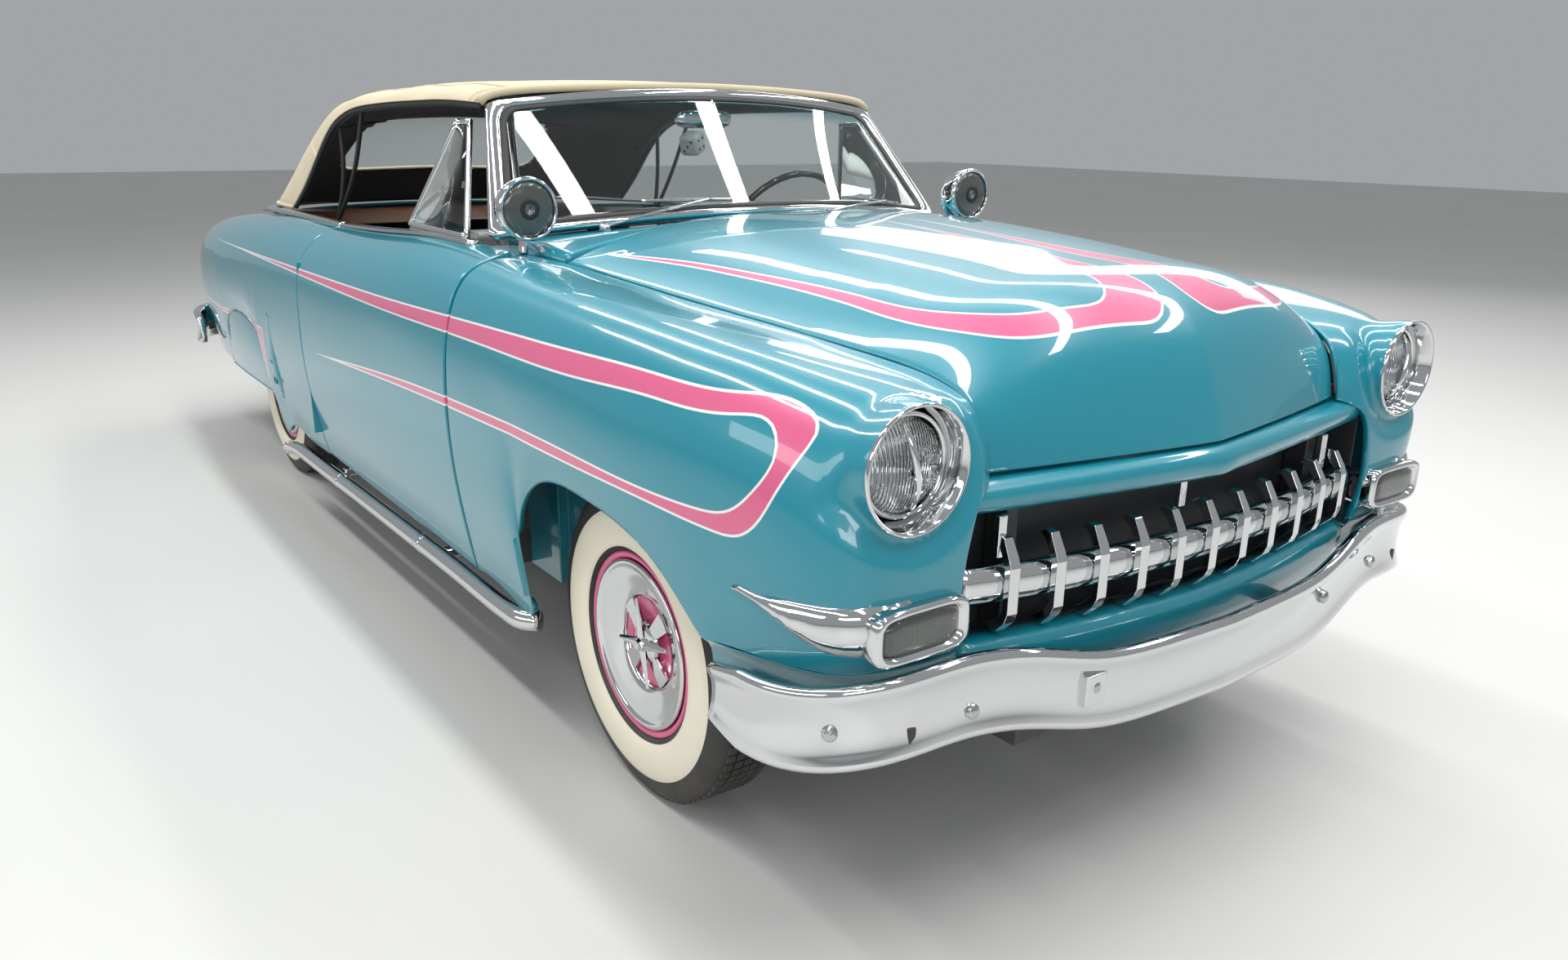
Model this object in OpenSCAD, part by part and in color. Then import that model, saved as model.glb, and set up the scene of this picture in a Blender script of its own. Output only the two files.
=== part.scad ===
// Full-size 1950s convertible car, as separate body panels, running gear, cabin and soft top.
// Frame: X forward, Y to the left, Z up. The origin is on the ground under the middle of the car.
// Side panels are drawn for the left side as [distance from an axle, inset from the widest point,
// height] and mirrored for the right side.

/* [Overall] */
// Distance between the axles
wheelbase = 2921; // [2434:1:3506]
// Front axle to the front face of the front bumper
front_overhang = 852; // [800:1:1023]
// Rear axle to the rear face of the rear bumper
rear_overhang = 1251; // [1230:1:1502]
// Width over the widest point of the doors
body_w = 1886; // [1800:1:2264]

/* [Wheels and tyres] */
// Outside diameter of a tyre, standing on the ground
tyre_d = 690; // [575:1:700]
// Width of a tyre
tyre_w = 170; // [142:1:190]
// Distance between the centres of the front tyres
track_front = 1473; // [1440:1:1490]
// Distance between the centres of the rear tyres
track_rear = 1422; // [1400:1:1440]
// Diameter over the rim's edge
rim_d = 402; // [335:1:440]
// Diameter of the wheel cap
cap_d = 368; // [306:1:380]
// Diameter of the wheel spindles
spindle_d = 40; // [33:1:48]

/* [Body panels] */
// Thickness of the fenders, quarter panels, hood and lid
skin_t = 6; // [5:1:7]
// Front axle back to the hinge line of the doors
door_front = 665; // [650:1:690]
// Length of a door
door_l = 1262; // [1052:1:1400]
// Gap round a moving panel
panel_gap = 6; // [5:1:8]
// Diameter of the holes for the headlights
headlight_d = 196; // [164:1:206]
// Diameter of the holes for the tail lamps
tail_lamp_d = 150; // [125:1:160]

/* [Hinges] */
// Inset of the door hinge pins from the widest point
door_pin_inset = 16; // [15:1:18]
// Depth of the hood and lid hinge pins below the crown of the panel
lid_pin_depth = 14; // [14:1:16]
// Diameter of the hinge pins
pin_d = 8; // [7:1:9]
// Radial clearance of the pins and spindles in their bores
bore_play = 0.05; // [0.03:0.01:0.08]

/* [Cabin] */
// Height of the cabin floor
floor_z = 350; // [345:1:360]
// Thickness of the floor and the inner walls
floor_t = 12; // [10:1:14]
// Half the width between the inner walls beside the rear seat
inner_wall_y = 700; // [690:1:705]
// Height of the top edge of the seat backs
seat_back_z = 1040; // [900:1:1060]
// Diameter of the steering wheel
steering_d = 430; // [358:1:440]
// Thickness of the canvas
canvas_t = 10; // [8:1:12]

/* [Trim] */
// Diameter of the side pipes
pipe_d = 50; // [42:1:54]
// Number of teeth on the grille bar
tooth_count = 11; // [7:2:13]
// Width of a grille tooth
tooth_w = 22; // [18:1:26]
// Across the bolt holes of the number plate bracket
plate_hole_x = 177.8; // [150:0.1:200]
// Up the bolt holes of the number plate bracket
plate_hole_z = 120.6; // [100:0.1:130]
// Diameter of the bolt holes of the number plate bracket
plate_hole_d = 7; // [5:0.5:9]

/* [Hidden] */
$fn = 48;

half_w = body_w / 2;
car_l = wheelbase + front_overhang + rear_overhang;
front_x = car_l / 2 - front_overhang;
rear_x = front_x - wheelbase;
hub_z = tyre_d / 2;
seat_gap = 0.3;

// ---- curve and shape helpers ----

// A point between b and c on the smooth curve through a, b, c, d
function spline(a, b, c, d, t) =
  0.5 * (2 * b + (c - a) * t + (2 * a - 5 * b + 4 * c - d) * t * t
         + (3 * b - a - 3 * c + d) * t * t * t);

// A smooth curve through the points p, with n steps from each to the next
function smooth(p, n) = concat(
  [for (s = [0 : len(p) - 2], k = [0 : n - 1])
    spline(p[max(s - 1, 0)], p[s], p[s + 1], p[min(s + 2, len(p) - 1)], k / n)],
  [p[len(p) - 1]]);

function column(rows, j) = [for (r = rows) r[j]];

// A smooth grid through a net of points: n_along steps between rows, n_across within a row
function patch(net, n_along, n_across) =
  let (rows = [for (r = net) smooth(r, n_across)],
       cols = [for (j = [0 : len(rows[0]) - 1]) smooth(column(rows, j), n_along)])
  [for (i = [0 : len(cols[0]) - 1]) column(cols, i)];

function unit(v) = v / max(norm(v), 1e-9);

// Unit normal of a grid at row i, column j
function grid_normal(g, i, j) =
  unit(cross(g[min(i + 1, len(g) - 1)][j] - g[max(i - 1, 0)][j],
             g[i][min(j + 1, len(g[0]) - 1)] - g[i][max(j - 1, 0)]));

// The grid moved along its normals
function grid_offset(g, d) =
  [for (i = [0 : len(g) - 1]) [for (j = [0 : len(g[0]) - 1]) g[i][j] + d * grid_normal(g, i, j)]];

function sub_grid(g, i0, i1, j0, j1) = [for (i = [i0 : i1]) [for (j = [j0 : j1]) g[i][j]]];

// Both halves of a grid whose rows run from the side to the middle of the car
function mirrored_rows(g) =
  [for (r = g) concat([for (p = r) [p[0], -p[1], p[2]]],
                      [for (j = [len(r) - 2 : -1 : 0]) r[j]])];

function backward(g) = [for (i = [len(g) - 1 : -1 : 0]) g[i]];

// The same grid seen from its other side
function flipped(g) = [for (r = g) [for (j = [len(r) - 1 : -1 : 0]) r[j]]];

// Solid between two grids of the same size; hole = [i0, i1, j0, j1] leaves those cells out
module grid_solid(outer, inner, hole = [0, 0, 0, 0]) {
  rows = len(outer);
  cols = len(outer[0]);
  m = rows * cols;
  function id(i, j) = i * cols + j;
  function is_cell(i, j) = i >= 0 && j >= 0 && i < rows - 1 && j < cols - 1
    && !(i >= hole[0] && i < hole[1] && j >= hole[2] && j < hole[3]);
  function wall(p, q) = [[p, q, q + m], [p, q + m, p + m]];
  cells = [for (i = [0 : rows - 2], j = [0 : cols - 2]) if (is_cell(i, j)) [i, j]];
  top = [for (c = cells) let (a = id(c[0], c[1]), b = id(c[0] + 1, c[1]))
    each [[a, b + 1, b], [a, a + 1, b + 1]]];
  bottom = [for (f = top) [f[0] + m, f[2] + m, f[1] + m]];
  rims = [for (c = cells) let (i = c[0], j = c[1]) each concat(
    is_cell(i - 1, j) ? [] : wall(id(i, j + 1), id(i, j)),
    is_cell(i + 1, j) ? [] : wall(id(i + 1, j), id(i + 1, j + 1)),
    is_cell(i, j - 1) ? [] : wall(id(i, j), id(i + 1, j)),
    is_cell(i, j + 1) ? [] : wall(id(i + 1, j + 1), id(i, j + 1)))];
  polyhedron(concat([for (r = outer) each r], [for (r = inner) each r]),
             concat(top, bottom, rims), convexity = 8);
}

// Sheet of thickness t under a grid
module panel(g, t, hole = [0, 0, 0, 0]) {
  grid_solid(g, grid_offset(g, -t), hole);
}

// Solid through closed outlines of equal length, closed at both ends from their middles
module loft(rings) {
  n = len(rings[0]);
  last = len(rings) - 1;
  function middle(r) = [for (k = [0 : 2]) [for (p = r) p[k]] * [for (p = r) 1] / n];
  pts = concat([for (r = rings) each r], [middle(rings[0]), middle(rings[last])]);
  sides = [for (i = [0 : last - 1], j = [0 : n - 1])
    let (a = i * n + j, b = i * n + (j + 1) % n) each [[a, b + n, a + n], [a, b, b + n]]];
  caps = [for (j = [0 : n - 1]) let (k = (j + 1) % n)
    each [[k, j, (last + 1) * n], [last * n + j, last * n + k, (last + 1) * n + 1]]];
  polyhedron(pts, concat(sides, caps), convexity = 8);
}

// Round tube of radius r along the points p, with n sides
module tube(p, r, n = 8) {
  function along(i) = unit(p[min(i + 1, len(p) - 1)] - p[max(i - 1, 0)]);
  function side(v) = unit(cross(v, abs(v[2]) > 0.9 ? [1, 0, 0] : [0, 0, 1]));
  loft([for (i = [0 : len(p) - 1]) let (v = along(i), s = side(v), u = cross(s, v))
    [for (k = [0 : n - 1]) p[i] + r * (cos(360 * k / n) * s + sin(360 * k / n) * u)]]);
}

module block(low, high) {
  translate(low) cube(high - low);
}

module both_sides() {
  children();
  mirror([0, 1, 0]) children();
}

module across(x, y0, y1, z, r) {
  translate([x, y0, z]) rotate([-90, 0, 0]) cylinder(r = r, h = y1 - y0);
}

// Rows of [distance, inset, height] placed from an axle on the left side
function placed(net, axle) = [for (r = net) [for (p = r) [axle + p[0], half_w - p[1], p[2]]]];

// ---- body lines of the left side ----

hinge_x = front_x - door_front;
door_rear_x = hinge_x - door_l;
// The door's front edge and the fender's rear edge each side of the hinge line
door_edge = 2;
fender_edge = 16;
door_swing_r = door_l;
// How far the rear edge of a door is drawn in so that it swings clear of the quarter panel
function swing_in(inset) = pow(max(inset - door_pin_inset, 0), 2) / (2 * door_swing_r);

fender_cut = fender_edge - door_front;
fender_net = [
  [[fender_cut, 243, 1080], [fender_cut, 153, 1080], [fender_cut, 71, 1045], [fender_cut, 25, 960],
   [fender_cut, 5, 830], [fender_cut, 8, 600], [fender_cut, 50, 322]],
  [[-520, 260, 1076], [-520, 160, 1076], [-520, 74, 1042], [-520, 26, 958], [-515, 5, 828],
   [-510, 8, 600], [-500, 50, 322]],
  [[-420, 275, 1069], [-415, 167, 1071], [-410, 77, 1040], [-400, 27, 955], [-385, 6, 825],
   [-360, 12, 590], [-330, 50, 322]],
  [[-330, 281, 1063], [-325, 172, 1067], [-320, 80, 1038], [-315, 28, 952], [-310, 6, 825],
   [-320, 15, 640], [-338, 36, 450]],
  [[-220, 288, 1057], [-215, 177, 1063], [-212, 83, 1036], [-215, 29, 950], [-225, 7, 828],
   [-255, 9, 690], [-292, 22, 590]],
  [[-110, 295, 1050], [-108, 182, 1058], [-108, 86, 1034], [-110, 31, 948], [-120, 8, 830],
   [-140, 6, 735], [-160, 14, 680]],
  [[0, 303, 1044], [0, 188, 1053], [0, 90, 1031], [0, 33, 945], [0, 9, 830], [0, 6, 750],
   [0, 12, 697]],
  [[150, 313, 1037], [152, 197, 1046], [154, 96, 1025], [158, 37, 940], [164, 12, 828],
   [168, 10, 740], [172, 15, 680]],
  [[300, 328, 1028], [302, 210, 1037], [304, 106, 1018], [305, 44, 935], [305, 20, 822],
   [304, 18, 715], [302, 25, 625]],
  [[430, 351, 1015], [435, 228, 1025], [436, 120, 1008], [432, 56, 925], [422, 32, 810],
   [412, 30, 680], [400, 38, 545]],
  [[540, 378, 1000], [552, 262, 1010], [560, 145, 992], [556, 78, 915], [540, 50, 800],
   [500, 44, 660], [445, 44, 545]],
  [[610, 398, 980], [636, 300, 990], [655, 185, 972], [660, 112, 900], [650, 78, 790],
   [615, 66, 655], [560, 76, 548]],
  [[655, 412, 950], [690, 335, 958], [712, 240, 940], [722, 165, 885], [720, 125, 790],
   [700, 108, 655], [662, 122, 552]],
  [[680, 419, 900], [708, 372, 905], [726, 310, 890], [735, 245, 845], [738, 195, 760],
   [728, 175, 650], [706, 192, 556]],
  [[692, 421, 838], [712, 400, 830], [728, 370, 815], [736, 350, 780], [738, 335, 715],
   [736, 330, 640], [724, 335, 560]]
];

door_front_dx = door_edge - door_front;
door_rear_dx = -door_front - door_l;
door_net = [
  [[door_front_dx, 188, 1092], [door_front_dx, 153, 1084], [door_front_dx, 71, 1047],
   [door_front_dx, 25, 962], [door_front_dx, 5, 832], [door_front_dx, 8, 602],
   [door_front_dx, 50, 322]],
  [[-1060, 188, 1094], [-1060, 143, 1088], [-1060, 75, 1050], [-1060, 23, 965],
   [-1060, 4, 830], [-1060, 7, 600], [-1060, 53, 322]],
  [[-1490, 191, 1074], [-1490, 143, 1068], [-1490, 75, 1032], [-1490, 22, 950],
   [-1490, 2, 820], [-1490, 5, 600], [-1490, 53, 322]],
  [for (p = [[198, 1060], [145, 1054], [75, 1019], [21, 943], [3, 816], [6, 600], [53, 322]])
    [door_rear_dx + swing_in(p[0]), p[0], p[1]]]
];
// Inner face of the door, from the sill up to the belt: [inset, height]
door_inner = [[95, 326], [125, 400], [130, 600], [140, 800], [165, 950]];

quarter_cut = door_rear_x - panel_gap - rear_x;
quarter_net = [
  [for (p = [[198, 1060], [145, 1054], [75, 1019], [21, 943], [3, 815], [6, 600], [53, 318]])
    [quarter_cut + swing_in(p[0]), p[0], p[1]]],
  [[700, 205, 1054], [700, 148, 1050], [700, 75, 1015], [700, 21, 938], [700, 2, 810],
   [700, 5, 600], [700, 55, 318]],
  [[480, 218, 1048], [480, 153, 1046], [480, 77, 1010], [480, 22, 932], [480, 2, 800],
   [480, 5, 590], [485, 57, 300]],
  [[370, 228, 1046], [370, 157, 1043], [372, 78, 1007], [376, 23, 928], [382, 3, 795],
   [390, 6, 580], [395, 59, 285]],
  [[290, 238, 1042], [292, 162, 1040], [300, 80, 1004], [315, 24, 925], [335, 4, 790],
   [360, 10, 600], [382, 50, 420]],
  [[200, 245, 1038], [204, 168, 1036], [212, 83, 1000], [230, 26, 922], [260, 4, 788],
   [295, 14, 650], [328, 38, 550]],
  [[100, 253, 1032], [103, 174, 1031], [108, 86, 996], [120, 28, 918], [140, 6, 790],
   [162, 14, 705], [182, 28, 640]],
  [[0, 261, 1025], [0, 180, 1026], [0, 90, 990], [0, 31, 912], [0, 9, 790], [0, 14, 715],
   [0, 25, 665]],
  [[-130, 271, 1017], [-128, 188, 1018], [-128, 95, 984], [-135, 35, 906], [-150, 12, 786],
   [-167, 18, 700], [-182, 29, 640]],
  [[-260, 281, 1009], [-258, 197, 1010], [-258, 101, 976], [-270, 40, 898], [-290, 16, 776],
   [-310, 24, 650], [-328, 43, 550]],
  [[-390, 293, 1000], [-388, 207, 1001], [-386, 108, 968], [-388, 46, 890], [-388, 22, 765],
   [-385, 34, 600], [-382, 57, 420]],
  [[-520, 307, 990], [-518, 219, 991], [-514, 117, 958], [-508, 54, 880], [-500, 29, 755],
   [-490, 41, 590], [-480, 66, 398]],
  [[-720, 325, 974], [-718, 236, 974], [-714, 132, 942], [-708, 68, 864], [-700, 43, 740],
   [-695, 54, 585], [-690, 82, 402]],
  [[-920, 343, 950], [-918, 255, 951], [-914, 152, 920], [-908, 90, 845], [-900, 66, 725],
   [-895, 76, 580], [-890, 106, 418]],
  [[-1070, 360, 920], [-1070, 278, 925], [-1070, 180, 896], [-1066, 122, 825],
   [-1060, 98, 715], [-1055, 105, 580], [-1045, 135, 435]],
  [[-1135, 372, 880], [-1150, 310, 888], [-1160, 230, 866], [-1164, 170, 810],
   [-1162, 145, 715], [-1155, 150, 590], [-1140, 180, 445]],
  [[-1155, 385, 840], [-1168, 350, 828], [-1178, 325, 790], [-1184, 310, 735],
   [-1184, 305, 670], [-1180, 305, 570], [-1166, 310, 452]]
];

fender_grid = patch(placed(fender_net, front_x), 2, 2);
quarter_grid = backward(patch(placed(quarter_net, rear_x), 2, 2));
door_grid = patch(placed(door_net, front_x), 4, 3);

// ---- running gear ----

rail_y = 345;
rail_w = 70;
rail_z = 250;
rail_h = 85;
kick_z = 405;

module chassis_frame() {
  low = rail_z;
  top = rail_z + rail_h;
  color("#262626") {
    both_sides() translate([0, rail_y + rail_w, 0]) rotate([90, 0, 0]) linear_extrude(rail_w)
      polygon([
        [front_x + 700, low + 60], [front_x + 700, top + 30], [front_x + 330, top + 30],
        [front_x - 330, top], [rear_x + 620, top], [rear_x + 380, kick_z + 65],
        [rear_x - 380, kick_z + 65], [rear_x - 620, top + 60], [rear_x - 1130, top + 60],
        [rear_x - 1130, low + 70], [rear_x - 640, low + 70], [rear_x - 360, kick_z],
        [rear_x + 340, kick_z], [rear_x + 560, low], [front_x - 360, low],
        [front_x + 310, low + 50]]);
    block([front_x + 560, -rail_y - 1, low + 62], [front_x + 700, rail_y + 1, top + 28]);
    block([front_x - 700, -rail_y - 1, low], [front_x - 600, rail_y + 1, top]);
    block([front_x - 1650, -rail_y - 1, low], [front_x - 1550, rail_y + 1, top]);
    block([rear_x - 620, -rail_y - 1, top - 10], [rear_x - 540, rail_y + 1, top + 55]);
    block([rear_x - 1130, -rail_y - 1, low + 72], [rear_x - 1060, rail_y + 1, top + 58]);
    // Body mounts between the rails and the floor
    both_sides() {
      for (x = [front_x - 620, front_x - 1600])
        block([x - 30, rail_y, top - 1], [x + 30, rail_y + rail_w, floor_z - seat_gap]);
      block([rear_x - 1090, rail_y, top + 59],
            [rear_x - 1050, rail_y + rail_w, rear_floor_z - seat_gap]);
    }
  }
}

kingpin_y = track_front / 2 - 90;
arm_low_z = hub_z - 125;
arm_top_z = hub_z + 125;
arm_t = 26;
arm_end_y = kingpin_y;
kingpin_r = 12;

module suspension_arm(z, spread) {
  difference() {
    union() {
      for (s = [-1, 1])
        linear_extrude_at(z) polygon([
          [front_x + s * spread - 25, rail_y + rail_w + 30],
          [front_x + s * spread + 25, rail_y + rail_w + 30],
          [front_x + 25, arm_end_y], [front_x - 25, arm_end_y]]);
      translate([front_x, arm_end_y, z]) cylinder(r = 30, h = arm_t);
    }
    translate([front_x, arm_end_y, z - 1]) cylinder(r = kingpin_r + bore_play, h = arm_t + 2);
  }
}

module linear_extrude_at(z) {
  translate([0, 0, z]) linear_extrude(arm_t) children();
}

module front_suspension() {
  color("#2b2b2b") both_sides() {
    suspension_arm(arm_low_z - arm_t, 130);
    suspension_arm(arm_top_z, 100);
    // Pivot bars that carry the arms on the frame
    block([front_x - 170, rail_y + rail_w, arm_low_z - arm_t], [front_x + 170, rail_y + rail_w + 40,
          arm_low_z]);
    block([front_x - 140, rail_y + rail_w, arm_low_z - 1], [front_x - 110, rail_y + rail_w + 40,
          arm_top_z + 1]);
    block([front_x + 110, rail_y + rail_w, arm_low_z - 1], [front_x + 140, rail_y + rail_w + 40,
          arm_top_z + 1]);
    block([front_x - 150, rail_y + rail_w, arm_top_z], [front_x + 150, rail_y + rail_w + 40,
          arm_top_z + arm_t]);
  }
}

module knuckle() {
  top = arm_top_z - seat_gap;
  low = arm_low_z + seat_gap;
  color("#3a3a3a") {
    translate([front_x, kingpin_y, low]) cylinder(r = 22, h = top - low);
    translate([front_x, kingpin_y, low - arm_t]) cylinder(r = kingpin_r, h = top - low + 2 * arm_t);
    across(front_x, kingpin_y, track_front / 2 + 20, hub_z, spindle_d / 2);
  }
}

module knuckle_left() { knuckle(); }
module knuckle_right() { mirror([0, 1, 0]) knuckle(); }

module rear_axle() {
  color("#2b2b2b") {
    across(rear_x, -track_rear / 2 - 20, track_rear / 2 + 20, hub_z, spindle_d / 2);
    across(rear_x, -560, 560, hub_z, 38);
    translate([rear_x, 0, hub_z]) sphere(r = 125);
    // Leaf springs, from the frame down to the axle
    both_sides() {
      block([rear_x - 560, 425, hub_z - 60], [rear_x + 560, 485, hub_z - 30]);
      block([rear_x - 60, 425, hub_z - 35], [rear_x + 60, 485, hub_z + 45]);
      for (s = [-1, 1])
        block([rear_x + s * 540 - 20, 415, hub_z - 60], [rear_x + s * 540 + 20, 485, hub_z + 15]);
    }
  }
}

module engine_and_radiator() {
  color("#3b4a4d") {
    block([front_x - 480, -250, rail_z + 90], [front_x + 190, 250, 880]);
    both_sides() block([front_x - 120, 200, rail_z + 50], [front_x - 40, rail_y, rail_z + 91]);
  }
  color("#1c1c1c") block([front_x + 565, -320, rail_z + rail_h + 28],
        [front_x + 610, 320, 740]);
}

// Half section of a wheel: [radius, distance outwards from the wheel's middle]
module steel_wheel() {
  rim_r = rim_d / 2;
  hub_r = spindle_d / 2 + bore_play;
  color("#d9587f") rotate_extrude() polygon([
    [hub_r, -20], [60, -20], [60, 10], [rim_r - 40, 28], [rim_r - 40, -55], [rim_r - 20, -66],
    [rim_r, -66], [rim_r, -60], [rim_r - 22, -50], [rim_r - 30, 30], [rim_r - 14, 58],
    [rim_r, 60], [rim_r, 66], [rim_r - 16, 66], [rim_r - 38, 40], [62, 24], [hub_r, 24]]);
  color("#d8dadd") rotate_extrude() polygon([
    [0, 26], [45, 26], [62, 24.5], [cap_d / 2 - 20, 45], [cap_d / 2, 67], [cap_d / 2 - 8, 72],
    [cap_d / 2 - 30, 62], [100, 50], [60, 52], [30, 56], [22, 74], [0, 78]]);
}

module tyre() {
  r = tyre_d / 2;
  rim_r = rim_d / 2 + 0.2;
  w = tyre_w / 2;
  color("#efe6cf") rotate_extrude() polygon(concat(
    [[rim_r, -62], [rim_r, 62]],
    smooth([[rim_r + 4, 70], [rim_r + 45, w], [r - 55, w], [r - 14, w - 18], [r, w - 30]], 3),
    smooth([[r, 30 - w], [r - 14, 18 - w], [r - 55, -w], [rim_r + 45, -w], [rim_r + 4, -70]], 3)));
}

module at_wheel(x, side, track) {
  translate([x, side * track / 2, hub_z]) rotate([-90 * side, 0, 0]) children();
}

module tyre_front_left() { at_wheel(front_x, 1, track_front) tyre(); }
module tyre_front_right() { at_wheel(front_x, -1, track_front) tyre(); }
module tyre_rear_left() { at_wheel(rear_x, 1, track_rear) tyre(); }
module tyre_rear_right() { at_wheel(rear_x, -1, track_rear) tyre(); }
module wheel_front_left() { at_wheel(front_x, 1, track_front) steel_wheel(); }
module wheel_front_right() { at_wheel(front_x, -1, track_front) steel_wheel(); }
module wheel_rear_left() { at_wheel(rear_x, 1, track_rear) steel_wheel(); }
module wheel_rear_right() { at_wheel(rear_x, -1, track_rear) steel_wheel(); }

// ---- floor, inner walls and cowl ----

firewall_x = front_x - 500;
sill_outer_y = half_w - 140;
sill_inner_y = half_w - 240;
step_x = rear_x + 640;
rear_floor_z = 482;
house_r = 385;
trunk_rear_x = rear_x - 1120;
wall_top_z = 985;
bulkhead_x = rear_x - 470;

module floor_and_walls() {
  color("#4a4d4e") {
    block([step_x, -sill_inner_y - 1, floor_z],
          [hinge_x - 21, sill_inner_y + 1, floor_z + floor_t]);
    block([hinge_x - 22, 1 - hinge_post_y, floor_z],
          [firewall_x, hinge_post_y - 1, floor_z + floor_t]);
    both_sides() block([step_x, sill_inner_y, 300], [hinge_x - 20, sill_outer_y, 392]);
    block([step_x - floor_t, -inner_wall_y, floor_z],
          [step_x + 1, inner_wall_y, rear_floor_z + floor_t]);
    difference() {
      block([trunk_rear_x, -inner_wall_y, rear_floor_z],
            [step_x, inner_wall_y, rear_floor_z + floor_t]);
      both_sides() across(rear_x, inner_wall_y - 120, inner_wall_y + 20, hub_z, house_r);
    }
    both_sides() difference() {
      union() {
        translate([0, inner_wall_y, 0]) rotate([90, 0, 0]) linear_extrude(floor_t) polygon([
          [trunk_rear_x, floor_z + 60], [trunk_rear_x, wall_top_z - 120], [rear_x - 900, wall_top_z - 60],
          [rear_x - 480, wall_top_z - 20], [door_rear_x - panel_gap, wall_top_z + 15],
          [door_rear_x - panel_gap, floor_z + 60]]);
        across(rear_x, inner_wall_y - 120, inner_wall_y, hub_z, house_r + floor_t);
      }
      across(rear_x, inner_wall_y - 108, inner_wall_y + 20, hub_z, house_r);
      block([rear_x - 500, inner_wall_y - 130, -100],
            [rear_x + 420, inner_wall_y + 20, kick_z - 15]);
    }
  }
}

hinge_post_y = 690;
cowl_front_x = front_x - 536;
glass_base_x = front_x - 655;
glass_base_corner = [front_x - 820, 742, 1107];
glass_base_z = 1157;
glass_top_corner = [front_x - 1056, 634, 1425];
glass_top_x = front_x - 985;
glass_top_z = 1468;
hood_crown_z = 1172;
pillar_foot_z = 1084;

// Cowl top: one outline in X and Z at each distance y from the middle
function cowl_ring(y) =
  let (s = abs(y) / 742, back = glass_base_x + 30 + (glass_base_corner[0] - glass_base_x - 40) * s * s,
       zb = glass_base_z - 9.3 - 50 * s * s, zf = hood_crown_z - 4 - 92 * pow(s, 2.2))
  [[cowl_front_x, y, zf - 40], [cowl_front_x, y, zf], [(cowl_front_x + back) / 2, y, (zf + zb) / 2 + 3],
   [back, y, zb], [back - 60, y, zb - 4], [back - 60, y, zb - 42]];

module cowl() {
  color("#1794a4") {
    loft([for (k = [-6 : 6]) cowl_ring(k * 676 / 6)]);
    hinge_eyes(hood_pin_x, hood_pin_z, 1, 40);
    block([firewall_x - 1, -600, floor_z + floor_t], [firewall_x + floor_t, 600, 1085]);
    both_sides() {
      // Hinge post, with the brackets that carry the door
      block([hinge_x - 10, hinge_post_y, 300], [firewall_x, hinge_post_y + 50, 1040]);
      block([hinge_x - 10, 640, 980], [firewall_x, hinge_post_y + 50, 1040]);
      // Foot of the windshield pillar
      block([glass_base_corner[0] - 60, 664, 1030], [hinge_x - 4, 745, pillar_foot_z]);
      block([hinge_x - 12, 590, floor_z + floor_t], [firewall_x, hinge_post_y + 1, floor_z + 60]);
      block([firewall_x - 1, 599, floor_z + floor_t], [firewall_x + floor_t, hinge_post_y + 30, 1040]);
      for (z = door_hinge_z) door_bracket(z);
    }
  }
}

door_hinge_z = [640, 850];
bracket_t = 24;
bracket_r = 7;

module door_bracket(z) {
  difference() {
    union() {
      block([hinge_x - bracket_r, hinge_post_y + 49, z],
            [hinge_x + bracket_r, half_w - door_pin_inset, z + bracket_t]);
      translate([hinge_x, half_w - door_pin_inset, z]) cylinder(r = bracket_r, h = bracket_t);
    }
    translate([hinge_x, half_w - door_pin_inset, z - 1])
      cylinder(d = pin_d + 2 * bore_play, h = bracket_t + 2);
  }
}

// ---- fenders, doors and quarter panels ----

headlight_x = front_x + 640;
headlight_y = half_w - 224;
headlight_z = 893;

module front_fender() {
  color("#1794a4") difference() {
    union() {
      panel(fender_grid, skin_t);
      // Flange that closes the fender against the hinge post
      translate([front_x + fender_cut + 1, 0, 0]) rotate([90, 0, 90]) linear_extrude(8)
        polygon(concat([[hinge_post_y + 50, 1040], [hinge_post_y + 50, 360]],
          [for (k = [5 : -1 : 2]) let (p = fender_net[0][k]) [half_w - p[1] - 4, p[2]]]));
    }
    translate([headlight_x - 50, headlight_y, headlight_z]) rotate([0, 90, 0])
      cylinder(d = headlight_d, h = 200);
  }
}

module front_fender_left() { front_fender(); }
module front_fender_right() { mirror([0, 1, 0]) front_fender(); }

// The door's closed outline at a grid row, with the inner face drawn in at the rear edge
function door_ring(row) =
  let (x_out = row[len(row) - 1][0])
  concat(row, [for (p = door_inner)
    [min(max(x_out, door_rear_x + swing_in(p[0])), hinge_x - 4), half_w - p[0], p[1]]]);

module door() {
  slot = bracket_r + 6;
  color("#1794a4") {
    difference() {
      loft(backward([for (r = door_grid) door_ring(r)]));
      for (z = door_hinge_z)
        block([hinge_x - slot, half_w - 220, z - 5],
              [hinge_x + 20, half_w - door_pin_inset + bracket_r + 1, z + bracket_t + 5]);
      vent_foot(seat_gap);
    }
    for (z = door_hinge_z)
      translate([hinge_x, half_w - door_pin_inset, z - 20]) cylinder(d = pin_d, h = bracket_t + 40);
  }
}

module door_left() { door(); }
module door_right() { mirror([0, 1, 0]) door(); }

module quarter_panel() {
  jamb = quarter_net[0];
  color("#1794a4") {
    panel(quarter_grid, skin_t);
    // Door jamb, down to the sill and in to the inner wall
    translate([rear_x + quarter_cut - 10, 0, 0]) rotate([90, 0, 90]) linear_extrude(8)
      polygon(concat([[inner_wall_y, 960], [inner_wall_y, 396], [sill_outer_y, 396],
                      [sill_outer_y, 340]],
        [for (k = [5 : -1 : 2]) [half_w - jamb[k][1] - 4, jamb[k][2]]]));
  }
}

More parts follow.
